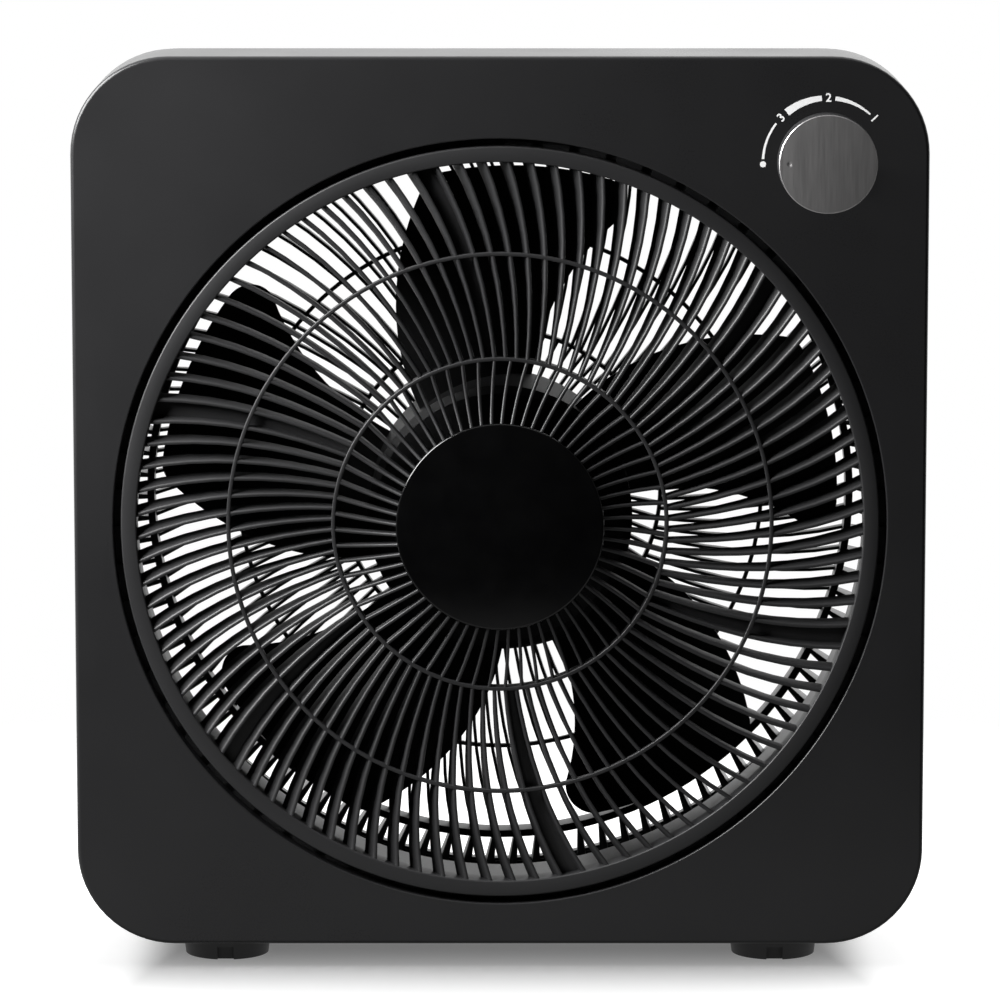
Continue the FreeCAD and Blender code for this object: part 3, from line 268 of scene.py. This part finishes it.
def gloss_black():
    """Polished black, with a coat and a faint swirl."""
    finish = Finish("polished_black", (0.0015, 0.0015, 0.0016), 0.16, specular=0.3, coat=0.1)
    finish.shader.inputs["Coat Roughness"].default_value = 0.05
    swirl = finish.noise(55.0, 5.0)
    darker, lighter = (0.0012, 0.0012, 0.0013), (0.0018, 0.0018, 0.0019)
    finish.set(Base_Color=finish.mix(finish.ramp(swirl, *NOISE_SPAN), darker, lighter),
               Roughness=finish.ramp(swirl, *NOISE_SPAN, 0.13, 0.2))
    return finish.bump(swirl, 0.01, GRAIN_HEIGHT).data


def spun_metal():
    """Dark metal finish, brushed straight up and down, with fine streaks."""
    finish = Finish("brushed_knob_face", (0.395, 0.39, 0.39), 0.38, metallic=0.9)
    streak = finish.noise(1.0, 3.0, 0.6, finish.stretch(2600, 400, 60))
    broad = finish.noise(1.0, 2.0, 0.5, finish.stretch(420, 400, 25))
    both = streak * 0.6 + broad * 0.4
    darker, lighter = (0.36, 0.355, 0.355), (0.43, 0.42, 0.42)
    finish.set(Base_Color=finish.mix(finish.ramp(both, *NOISE_SPAN), darker, lighter),
               Roughness=finish.ramp(both, *NOISE_SPAN, 0.35, 0.43))
    return finish.bump(streak, 0.05, SCRATCH_HEIGHT).data


def bright_metal(name, colour, roughness):
    """Bare or plated metal with fine scratches."""
    finish = Finish(name, colour, roughness, metallic=1.0)
    scratch = finish.noise(900.0, 4.0)
    darker = tuple(0.8 * part for part in colour)
    finish.set(Base_Color=finish.mix(finish.ramp(scratch, *NOISE_SPAN), darker, colour),
               Roughness=finish.ramp(scratch, *NOISE_SPAN, roughness, roughness + 0.12))
    return finish.bump(scratch, 0.05, SCRATCH_HEIGHT).data


def white_print():
    """Screen print in white, slightly uneven."""
    finish = Finish("dial_print", (0.8, 0.8, 0.8), 0.5)
    speck = finish.noise(2500.0, 2.0)
    thin, full = (0.72, 0.72, 0.72), (0.84, 0.84, 0.84)
    finish.set(Base_Color=finish.mix(finish.ramp(speck, 0.35, 0.65), thin, full),
               Roughness=finish.ramp(speck, *NOISE_SPAN, 0.45, 0.55))
    return finish.data


HOUSING = moulded("housing_plastic", 0.013, 0.30, 1600.0, 0.06, specular=0.25)
GRILLE = moulded("grille_plastic", 0.015, 0.42, 900.0, 0.03, specular=0.3)
GUIDE = moulded("duct_plastic", 0.018, 0.40, 900.0, 0.03, specular=0.4)
GUARD = moulded("guard_plastic", 0.020, 0.42, 900.0, 0.03)
# the fins are the guard's plastic at twice its shade: painted light on their sides, which the lamps
# leave dark
FIN_PAINTED_LIGHTER = moulded("fin_plastic_painted_lighter", 0.04, 0.38, 900.0, 0.03)
ROTOR = moulded("rotor_plastic", 0.010, 0.55, 700.0, 0.02, specular=0.2)
SMALL = moulded("small_parts_plastic", 0.020, 0.45, 1200.0, 0.05)
FOOT = moulded("foot_plastic", 0.03, 0.5, 1200.0, 0.06)
RUBBER = moulded("pad_rubber", 0.02, 0.8, 1500.0, 0.2)
CAP = gloss_black()
KNOB_FACE = spun_metal()
STEEL = bright_metal("zinc_steel", (0.55, 0.55, 0.56), 0.3)
BRONZE = bright_metal("sintered_bronze", (0.5, 0.36, 0.17), 0.4)
LAMINATION = bright_metal("laminations", (0.25, 0.25, 0.26), 0.45)
COPPER = bright_metal("enamelled_copper", (0.55, 0.24, 0.1), 0.3)
SHIELD = bright_metal("galvanised_shell", (0.4, 0.41, 0.42), 0.4)
PALE = moulded("capacitor_plastic", 0.55, 0.4, 1200.0, 0.05, 0.05)
PRINT = white_print()

NODE_FINISHES = {
    "front_housing": HOUSING, "rear_housing": HOUSING, "guide_ring": GUIDE, "rear_guard": GUARD,
    "front_grille": GRILLE, "grille_cap": CAP, "fan_rotor": ROTOR, "rotor_nut": ROTOR,
    "control_knob": SMALL, "knob_cap": KNOB_FACE, "cord_gland": SMALL, "terminal_block": SMALL,
    "rotary_switch": SMALL, "motor_shaft": STEEL, "drive_pin": STEEL, "switch_shaft": STEEL,
    "switch_nut": STEEL, "front_bearing": BRONZE, "rear_bearing": BRONZE, "stator_core": LAMINATION,
    "rotor_core": LAMINATION, "stator_winding": COPPER, "motor_front_shield": SHIELD,
    "motor_rear_shield": SHIELD, "run_capacitor": PALE,
}


def finish_nodes():
    """Gives each CAD node its own finish."""
    for name, node in nodes.items():
        if name.startswith("foot_pad"):
            material = RUBBER
        elif "screws" in name:
            material = STEEL
        elif name.startswith("foot"):
            material = FOOT
        else:
            material = NODE_FINISHES[name]
        node.data.materials.clear()
        node.data.materials.append(material)


# ---------------------------------------------------------------- mesh helpers
def polar(radius, angle, y):
    """A place given by its distance from the fan's axis and its angle round it."""
    return Vector((radius * math.cos(angle), y, AXIS_Z + radius * math.sin(angle)))


def piece(name, bm, material, body, replaces=(), smooth=35, recalculate=True):
    """Turns a bmesh into a finished piece on a body."""
    if recalculate:
        bmesh.ops.recalc_face_normals(bm, faces=bm.faces)
    sharp = math.radians(smooth)
    for face in bm.faces:
        face.smooth = True
    for edge in bm.edges:
        edge.smooth = len(edge.link_faces) == 2 and edge.calc_face_angle(0) < sharp
    mesh = bpy.data.meshes.new(name)
    bm.to_mesh(mesh)
    bm.free()
    mesh.materials.append(material)
    made = bpy.data.objects.new(name, mesh)
    bpy.context.scene.collection.objects.link(made)
    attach(made, body)
    if replaces:
        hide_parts(*replaces)
    return made


def lathe(bm, profile, steps, x=0.0, z=AXIS_Z):
    """Spins a closed (radius, y) profile round an axis along Y and returns its faces."""
    verts = [bm.verts.new((x + radius, y, z)) for radius, y in profile]
    edges = [bm.edges.new(pair) for pair in zip(verts, verts[1:] + verts[:1])]
    before = set(bm.faces)
    bmesh.ops.spin(bm, geom=verts + edges, cent=(x, 0, z), axis=(0, 1, 0), angle=2 * math.pi,
                   steps=steps, use_merge=True)
    bmesh.ops.remove_doubles(bm, verts=[vert for vert in bm.verts if vert.is_valid], dist=1e-7)
    return [face for face in bm.faces if face not in before]


def rounded_band(inner, outer, front, back, round_front, round_back=0.0):
    """A closed profile of a rectangular band whose front and back corners are rounded."""
    profile = []
    corners = ((outer, front, -1, 1, round_front), (outer, back, -1, -1, round_back),
               (inner, back, 1, -1, round_back), (inner, front, 1, 1, round_front))
    for index, (radius, y, to_r, to_y, amount) in enumerate(corners):
        if amount == 0:
            profile.append((radius, y))
            continue
        arc = []
        for step in range(4):
            turn = math.pi / 2 * step / 3
            arc.append((radius + to_r * amount * (1 - math.sin(turn)),
                        y + to_y * amount * (1 - math.cos(turn))))
        profile += arc if index in (0, 2) else arc[::-1]
    return profile


def refined(name, new_name, material, body, angle=30, add=None):
    """A copy of a CAD node with its triangles merged and its normals smoothed across the curves.

    An added shape is made in the same mesh, and its faces are turned outwards.
    """
    bm = bmesh.new()
    bm.from_mesh(nodes[name].data)
    bmesh.ops.remove_doubles(bm, verts=bm.verts, dist=2e-6)
    if add:
        bmesh.ops.recalc_face_normals(bm, faces=add(bm))
    made = piece(new_name, bm, material, body, (name,), angle, recalculate=False)
    weighted = made.modifiers.new("weighted", "WEIGHTED_NORMAL")
    weighted.keep_sharp = True
    weighted.weight = 90
    return made


def opening_edge(bm):
    """The tight, finely turned front edge of the opening."""
    profile = [(OPENING_RADIUS, FRONT_Y + OPENING_ROLL)]
    for step in range(7):
        turn = math.pi / 2 * step / 6
        profile.append((OPENING_RADIUS + OPENING_EDGE * (1 - math.cos(turn)),
                        FRONT_Y + OPENING_EDGE * (1 - math.sin(turn))))
    outer = OPENING_RADIUS + OPENING_ROLL
    profile += [(outer, FRONT_Y), (outer, FRONT_Y + OPENING_ROLL)]
    return lathe(bm, profile, 240)


# ---------------------------------------------------------------- front grille
def sweep_angle(radius):
    """How far a vane has curved round between the inner ring and the rim."""
    span = RIM_INNER_RADIUS - INNER_RING
    middle = MIDDLE_RING - INNER_RING
    out = radius - INNER_RING
    slope = VANE_TURN_MIDDLE / middle
    bend = (VANE_TURN_RIM - slope * span) / (span * (span - middle))
    return slope * out + bend * out * (out - middle)


def inner_sweep_angle(radius):
    """How far an inner vane has curved round between the inner ring and the disc."""
    return INNER_VANE_TURN * (INNER_RING - radius) / (INNER_RING - CAP_RADIUS)


def dome_y(radius):
    """Where the vanes' front edges lie: flat, and then up to the disc."""
    rise = FRONT_Y - cap_low.y
    share = min(1, (radius - CAP_RADIUS) / (RIM_INNER_RADIUS - CAP_RADIUS))
    return FRONT_Y + VANE_SETBACK - rise * (1 - max(0, share)) ** DOME_POWER


def bar(thick, depth, cuts, nose):
    """A straight bar one unit long, cut along its length, with its two front edges rounded."""
    bm = bmesh.new()
    bmesh.ops.create_cube(bm, size=1, matrix=Matrix.Translation((0.5, 0.5 * depth, 0))
                          @ Matrix.Diagonal((1, depth, thick, 1)))
    front = [edge for edge in bm.edges if all(vert.co.y < 1e-6 for vert in edge.verts)
             and abs(edge.verts[0].co.x - edge.verts[1].co.x) > 0.5]
    bmesh.ops.bevel(bm, geom=front, offset=nose, segments=2, profile=0.5, affect="EDGES", material=-1)
    along = [edge for edge in bm.edges if abs(edge.verts[0].co.x - edge.verts[1].co.x) > 0.5]
    bmesh.ops.subdivide_edges(bm, edges=along, cuts=cuts, use_grid_fill=True)
    return bm


def lay_bars(bm, straight, count, start, inner, outer, sweep, surface, lean=None, fill=(0.0, 1.0),
             floor=None, flare=None):
    """Bends copies of a straight bar along the vanes' curve and over the dome.

    A bar takes up the stated part of the lean, ends at the floor if there is one, and is as wide at
    a radius as the flare says.
    """
    depth = max(vert.co.y for vert in straight.verts)
    source = bpy.data.meshes.new("bar")
    straight.to_mesh(source)
    straight.free()
    step = 0.1 * MM
    for index in range(count):
        first = start + index * 2 * math.pi / count
        known = len(bm.verts)
        bm.from_mesh(source)
        bm.verts.ensure_lookup_table()
        middle = first + sweep((inner + outer) / 2)
        shift = Vector((-math.sin(middle), 0, math.cos(middle))) * math.cos(middle - LEAN_AXIS)
        for vert in bm.verts[known:]:
            along, back, aside = vert.co
            radius = inner + (outer - inner) * along
            here = polar(radius, first + sweep(radius), 0)
            ahead = polar(radius + step, first + sweep(radius + step), 0) - here
            normal = Vector((-ahead.z, 0, ahead.x)).normalized()
            share = back / depth
            width = aside * (flare(radius) if flare else 1)
            leaned = shift * (fill[0] + (fill[1] - fill[0]) * share) * (lean(radius) if lean else 0)
            front = surface(radius)
            y = front + back if floor is None else front + (floor - front) * share
            vert.co = here + normal * width + leaned + Vector((0, y, 0))
    bpy.data.meshes.remove(source)


def lean_out(radius):
    """The vanes stand straight at the inner ring and lean more and more towards the rim."""
    return VANE_LEAN * max(0.0, (radius - INNER_RING) / (RIM_INNER_RADIUS - INNER_RING))


def front_grille():
    """The vanes, the ribs that fill the gaps between two of them, and the two thin rings."""
    bm = bmesh.new()
    reach = RIM_INNER_RADIUS + 1.5 * MM
    lay_bars(bm, bar(VANE_THICK, VANE_DEPTH, 7, 0.8 * MM), VANES, VANE_START, INNER_RING, reach,
             sweep_angle, dome_y, lean_out)
    lay_bars(bm, bar(INNER_VANE_THICK, INNER_VANE_DEPTH, 5, 0.6 * MM), INNER_VANES, VANE_START,
             CAP_RADIUS - 0.5 * MM, INNER_RING, inner_sweep_angle, dome_y)
    pitch = 2 * math.pi / VANES
    rib = bar(pitch * MIDDLE_RING, VANE_DEPTH - RIB_FLOOR - RIB_BACK, 7, 0.1 * MM)
    lay_bars(bm, rib, RIBS, VANE_START + pitch * (RIB_FIRST + 0.5), INNER_RING, reach, sweep_angle,
             lambda radius: dome_y(radius) + RIB_FLOOR, lean_out,
             fill=(RIB_FLOOR / VANE_DEPTH, 1 - RIB_BACK / VANE_DEPTH),
             flare=lambda radius: radius / MIDDLE_RING)
    for radius, depth in ((INNER_RING, 9 * MM), (MIDDLE_RING, 2.8 * MM)):
        front = dome_y(radius) - 0.2 * MM
        lathe(bm, rounded_band(radius - RING_HALF_WIDTH, radius + RING_HALF_WIDTH,
                               front, front + depth, 0.6 * MM), 144)
    return piece("louvre_grille", bm, GRILLE, "grille", ("front_grille",), 50)


def grille_rim():
    """The rim with its rounded edges, and the teeth of its running flange."""
    bm = bmesh.new()
    back = grille_high.y
    lathe(bm, rounded_band(RIM_INNER_RADIUS, GRILLE_RADIUS, FRONT_Y, back, RIM_ROUND), 192)
    pitch = 2 * math.pi / FLANGE_TEETH
    inner, outer = GRILLE_RADIUS - 0.5 * MM, FLANGE_RADIUS
    tooth = pitch - FLANGE_NOTCH / (GRILLE_RADIUS + 4 * MM)
    front = back - FLANGE_THICK
    corners = [(inner, front), (outer, front), (outer, back), (inner, back)]
    for index in range(FLANGE_TEETH):
        start = (index + 0.5) * pitch - tooth / 2
        verts = [bm.verts.new(polar(radius, start, y)) for radius, y in corners]
        face = bm.faces.new(verts)
        bmesh.ops.spin(bm, geom=[face] + verts + list(face.edges), cent=(0, 0, AXIS_Z),
                       axis=(0, -1, 0), angle=tooth, steps=3)
    return piece("grille_rim", bm, GRILLE, "grille", (), 40)


def grille_cap():
    """The bare disc in the middle, with its rounded edge."""
    bm = bmesh.new()
    edge = 1.2 * MM
    profile = [(AT_AXIS, cap_low.y), (CAP_RADIUS - edge, cap_low.y)]
    for step in range(1, 5):
        turn = math.pi / 2 * step / 4
        profile.append((CAP_RADIUS - edge * (1 - math.sin(turn)),
                        cap_low.y + edge * (1 - math.cos(turn))))
    profile += [(CAP_RADIUS, cap_high.y), (AT_AXIS, cap_high.y)]
    lathe(bm, profile, 128)
    return piece("centre_disc", bm, CAP, "grille", ("grille_cap",), 40)


# ---------------------------------------------------------------- rear guard
def fin_share(radius):
    """How far along a fin a radius lies, from the outer ring to the rim."""
    return (radius - GUARD_RING) / (FIN_END - GUARD_RING)


def fin_turn(radius):
    """The fins run slightly back round the axis."""
    return -FIN_TURN * fin_share(radius)


def fin_front(radius):
    """A fin's front edge runs from the front of the outer ring to the front of the rim."""
    ring_y = REAR_Y - GUARD_RING_REACH
    return ring_y + (guard_low.y - ring_y) * fin_share(radius)


def rear_guard():
    """The guard's vanes and rings, its rim and the plate that carries the motor."""
    bm = bmesh.new()
    low, high = REAR_Y, guard_high.y
    depth = high - low
    lay_bars(bm, bar(GUARD_VANE_THICK, depth, 6, 0.4 * MM), GUARD_VANES, 0, INNER_RING, GUARD_RING,
             sweep_angle, lambda radius: low)
    lay_bars(bm, bar(GUARD_VANE_THICK, depth, 2, 0.4 * MM), GUARD_INNER_VANES, 0,
             GUARD_PLATE - 1 * MM, INNER_RING, inner_sweep_angle, lambda radius: low)
    ring_back = high - 0.3 * MM
    for radius, half, front, back in ((INNER_RING, RING_HALF_WIDTH, low, ring_back),
                                      (MIDDLE_RING, RING_HALF_WIDTH, low, low + 2.6 * MM),
                                      (GUARD_RING, 2 * MM, low - GUARD_RING_REACH, ring_back)):
        lathe(bm, rounded_band(radius - half, radius + half, front, back, 0.4 * MM), 144)
    edge = 0.8 * MM
    rim_inner = FIN_END - 1 * MM
    lathe(bm, [(rim_inner, low), (GUARD_RADIUS, low), (GUARD_RADIUS, high - edge),
               (GUARD_RADIUS - edge, high), (rim_inner, high)], 192)
    pocket_radius, pocket_floor = GUARD_PLATE - GUARD_PLATE_WALL, low + GUARD_PLATE_DEPTH
    lathe(bm, [(AT_AXIS, low), (GUARD_PLATE, low), (GUARD_PLATE, high), (pocket_radius, high),
               (pocket_radius, pocket_floor), (AT_AXIS, pocket_floor)], 96)
    return piece("rear_grid", bm, GUARD, "housing", ("rear_guard",), 40)


def guard_fins():
    """The guard's outer fins, which widen towards its rim."""
    bm = bmesh.new()
    fin = bar(FIN_THICK, guard_high.y - guard_low.y, 1, 0.85 * MM)
    lay_bars(bm, fin, GUARD_VANES, sweep_angle(GUARD_RING), GUARD_RING, FIN_END, fin_turn, fin_front,
             floor=guard_high.y, flare=lambda radius: 1 + FIN_WIDENING * fin_share(radius))
    return piece("guard_fins", bm, FIN_PAINTED_LIGHTER, "housing", (), 40)


# ---------------------------------------------------------------- knob
def knob_face():
    """The knob's cap: a faintly domed face, a bright turned edge and the pointer dimple."""
    bm = bmesh.new()
    front, back = knob_cap_low.y, knob_cap_high.y
    radius = (knob_cap_high.x - knob_cap_low.x) / 2
    face_radius = radius - KNOB_EDGE
    # the rings lie close together where the dimple is, and again at the edge
    steps = [0.0005, 0.25, 0.5, 0.66]
    steps += [0.7 + 0.0155 * step for step in range(13)]
    steps += [0.91, 0.93, 0.95, 0.97, 0.985, 1]
    profile = [(face_radius * share, front + KNOB_DOME * share ** 2) for share in steps]
    profile += [(radius, front + KNOB_DOME + KNOB_EDGE * 0.7), (radius, back),
                (face_radius * 0.01, back)]
    lathe(bm, profile, 240, KNOB_X, KNOB_Z)
    bmesh.ops.holes_fill(bm, edges=[edge for edge in bm.edges if edge.is_boundary])
    dimple = Vector((KNOB_X - DIMPLE_PLACE, 0, KNOB_Z))
    for vert in bm.verts:
        away = (Vector((vert.co.x, 0, vert.co.z)) - dimple).length / DIMPLE_RADIUS
        if away < 1 and vert.co.y < front + KNOB_DOME:
            vert.co.y += DIMPLE_DEPTH * (1 - away * away)
    return piece("knob_face", bm, KNOB_FACE, "knob", ("knob_cap",), 18)


# ---------------------------------------------------------------- dial print
def on_dial(degrees, radius=DIAL_RADIUS):
    """A place in the print, given by its angle round the knob."""
    angle = math.radians(degrees)
    return Vector((KNOB_X + radius * math.cos(angle), FRONT_Y - 0.05 * MM,
                   KNOB_Z + radius * math.sin(angle)))


def dial_arc(bm, start, end, wide_start, wide_end, steps=14):
    """An arc of print whose width changes along it."""
    rows = []
    for step in range(steps + 1):
        share = step / steps
        half = (wide_start + (wide_end - wide_start) * share) / 2
        degrees = start + (end - start) * share
        rows.append([bm.verts.new(on_dial(degrees, DIAL_RADIUS + side)) for side in (-half, half)])
    for low, high in zip(rows, rows[1:]):
        bm.faces.new((low[0], low[1], high[1], high[0]))


def dial_print():
    """Plain numbers 3, 2, 1, a dot for off and arcs that widen towards the faster speeds."""
    bm = bmesh.new()
    dial_arc(bm, 177.3, 142.8, 1.3 * MM, 1.1 * MM)
    dial_arc(bm, 129.3, 95, 4.1 * MM, 2.9 * MM)
    dial_arc(bm, 83, 48, 2.4 * MM, 0.9 * MM)
    dot = Matrix.Translation(on_dial(182)) @ Matrix.Rotation(math.pi / 2, 4, "X")
    bmesh.ops.create_circle(bm, cap_ends=True, segments=24, radius=1.6 * MM, matrix=dot)
    thickness = bmesh.ops.extrude_face_region(bm, geom=list(bm.faces))
    moved = [item for item in thickness["geom"] if isinstance(item, bmesh.types.BMVert)]
    bmesh.ops.translate(bm, verts=moved, vec=(0, PRINT_THICK, 0))
    piece("dial_marks", bm, PRINT, "housing", (), 30)
    for figure, degrees in (("3", 136), ("2", 89), ("1", 43)):
        dial_figure(figure, degrees)


def dial_figure(figure, degrees):
    """A number that stands upright on the dial's circle."""
    curve = bpy.data.curves.new("figure_" + figure, "FONT")
    curve.body = figure
    curve.size = 6.4 * MM
    curve.offset = 0.12 * MM
    curve.align_x = "CENTER"
    curve.align_y = "CENTER"
    curve.extrude = 0.03 * MM
    text = bpy.data.objects.new("figure_text", curve)
    mesh = bpy.data.meshes.new_from_object(text)
    upright = Matrix.Rotation(math.pi / 2, 4, "X")
    turned = Matrix.Rotation(math.radians(90 - degrees), 4, "Y")
    mesh.transform(Matrix.Translation(on_dial(degrees)) @ turned @ upright)
    mesh.materials.clear()
    mesh.materials.append(PRINT)
    made = bpy.data.objects.new("dial_figure_" + figure, mesh)
    bpy.data.objects.remove(text)
    bpy.context.scene.collection.objects.link(made)
    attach(made, "housing")


# ---------------------------------------------------------------- stage, lights and camera
def stage():
    """A pale floor that fades out into a white surround. It keeps the fan's soft shadow.

    To the eye the floor glows, less under the fan than round it: a painted shadow, laid over the soft
    shadow that the floor lamp casts. To the fan it is a dimmer floor that sends a little light up.
    """
    finish = Finish("pale_floor", (0.85, 0.85, 0.85), 0.9, specular=0.0)
    distance = finish.node("ShaderNodeVectorMath", {"operation": "LENGTH"}, finish.place, output=1)
    across, back, _ = finish.axes()
    # painted shadow: under the fan the floor's glow drops to its low level, on top of the lamp's real
    # soft shadow
    beside_painted_shadow = (abs(across) - PAINTED_SHADOW_HALF_WIDTH) * PAINTED_SHADOW_SIDE_SHARPNESS
    outside_painted_shadow = finish.node("ShaderNodeMapRange", {"interpolation_type": "SMOOTHSTEP"},
                             beside_painted_shadow.or_more(abs(back) + FRONT_Y), *PAINTED_SHADOW_FADE)
    glow = finish.mix(outside_painted_shadow, (PAINTED_SHADOW_GLOW,) * 3, (FLOOR_GLOW,) * 3)
    seen = finish.node("ShaderNodeLightPath", {})
    finish.set(Alpha=finish.ramp(distance, *FLOOR_FADE, 1.0, 0.0),
               Base_Color=finish.mix(seen, (0.2, 0.2, 0.2), (0.85, 0.85, 0.85)),
               Emission_Color=finish.mix(seen, (FLOOR_BOUNCE,) * 3, glow))
    finish.shader.inputs["Emission Strength"].default_value = 1.0
    bm = bmesh.new()
    bmesh.ops.create_circle(bm, cap_ends=True, segments=64, radius=1.2)
    mesh = bpy.data.meshes.new("floor")
    bm.to_mesh(mesh)
    bm.free()
    mesh.materials.append(finish.data)
    floor = bpy.data.objects.new("floor", mesh)
    bpy.context.scene.collection.objects.link(floor)
    return floor


def surround():
    """White to the eye. Its light comes mostly from behind, as in a white studio cove."""
    world = bpy.data.worlds.new("studio")
    bpy.context.scene.world = world
    world.use_nodes = True
    tree = world.node_tree

    def node(kind, *inputs, **settings):
        made = tree.nodes.new(kind)
        for key, setting in settings.items():
            setattr(made, key, setting)
        for socket, value in zip(made.inputs, inputs):
            if isinstance(value, bpy.types.NodeSocket):
                tree.links.new(value, socket)
            else:
                socket.default_value = value
        return made.outputs

    def spread(value, *ends):
        return node("ShaderNodeMapRange", value, *ends)[0]

    across, back, up = node("ShaderNodeSeparateXYZ", node("ShaderNodeTexCoord")[0])
    from_left = spread(across, -0.8, 0.8, 0.01, 0.005)
    from_above = spread(up, -0.5, 0.6, 0.5, 1.0)
    front = node("ShaderNodeMath", from_left, from_above, operation="MULTIPLY")[0]
    level = spread(spread(back, -0.3, 0.5, 0.0, 1.0), 0.0, 1.0, front, REAR_LIGHT)
    seen = node("ShaderNodeLightPath")["Is Camera Ray"]
    background = tree.nodes["Background"]
    background.inputs["Color"].default_value = (1, 1, 1, 1)
    tree.links.new(spread(seen, 0.0, 1.0, level, 1.0), background.inputs["Strength"])


def soft_light(name, place, target, size, power):
    """A rectangular lamp that looks at its target."""
    data = bpy.data.lights.new(name, "AREA")
    data.shape = "RECTANGLE"
    data.size, data.size_y = size
    data.energy = power
    lamp = bpy.data.objects.new(name, data)
    lamp.location = place
    aim = Vector(target) - Vector(place)
    lamp.rotation_euler = aim.to_track_quat("-Z", "Y").to_euler()
    bpy.context.scene.collection.objects.link(lamp)
    return lamp


def linked_with(name, state, *objects):
    """A collection that lets a lamp, or its shadows, reach these objects only, or all but these."""
    linked = bpy.data.collections.new(name)
    for made in objects:
        linked.objects.link(made)
    for entry in linked.collection_objects:
        entry.light_linking.link_state = state
    return linked


def lights(floor, knob_pieces):
    """Two lamps light the fan, and a third one the floor, so that the fan has one soft shadow.

    The knob throws no shadow of the left lamp.
    """
    middle = (0, 0, AXIS_Z)
    over_y = FRONT_Y + 0.2
    key = soft_light("key_left", (-0.75, -0.35, 0.8), middle, (0.6, 0.6), 41)
    top = soft_light("top", (0, 0.2, 2.4), middle, (2.4, 2.0), 21)
    over_floor = soft_light("over_floor", (0, over_y, 2.4), (0, over_y, 0), (1.0, 0.4), 19)
    key.light_linking.blocker_collection = linked_with("no_shade_of_key", "EXCLUDE", *knob_pieces)
    for lamp, state in ((key, "EXCLUDE"), (top, "EXCLUDE"), (over_floor, "INCLUDE")):
        receivers = linked_with("floor_of_" + lamp.name, state, floor)
        lamp.light_linking.receiver_collection = receivers


def camera():
    """Looks slightly down at the fan's front."""
    data = bpy.data.cameras.new("camera")
    data.sensor_width = 36
    data.lens = CAMERA_LENS
    data.clip_end = 50
    view = bpy.data.objects.new("camera", data)
    target = Vector((0, PARTING_Y, CAMERA_AIM_Z))
    view.location = target + CAMERA_DISTANCE * Vector((0, -math.cos(CAMERA_RISE), math.sin(CAMERA_RISE)))
    view.rotation_euler = (target - view.location).to_track_quat("-Z", "Y").to_euler()
    bpy.context.scene.collection.objects.link(view)
    bpy.context.scene.camera = view


# ---------------------------------------------------------------- the whole fan
bpy.context.scene.view_settings.view_transform = "Standard"
camera()
finish_nodes()
floor = stage()
surround()
front_grille()
grille_rim()
grille_cap()
rear_guard()
guard_fins()
dial_print()
refined("front_housing", "front_shell", HOUSING, "housing", add=opening_edge)
refined("rear_housing", "rear_shell", HOUSING, "housing")
refined("guide_ring", "duct", GUIDE, "housing")
knob_pieces = [knob_face(), refined("control_knob", "knob_body", SMALL, "knob")]
refined("fan_rotor", "rotor_blades", ROTOR, "rotor", 40)
for place in ("front_left", "front_right", "rear_left", "rear_right"):
    refined("foot_" + place, "foot_body_" + place, FOOT, "housing")
lights(floor, knob_pieces)
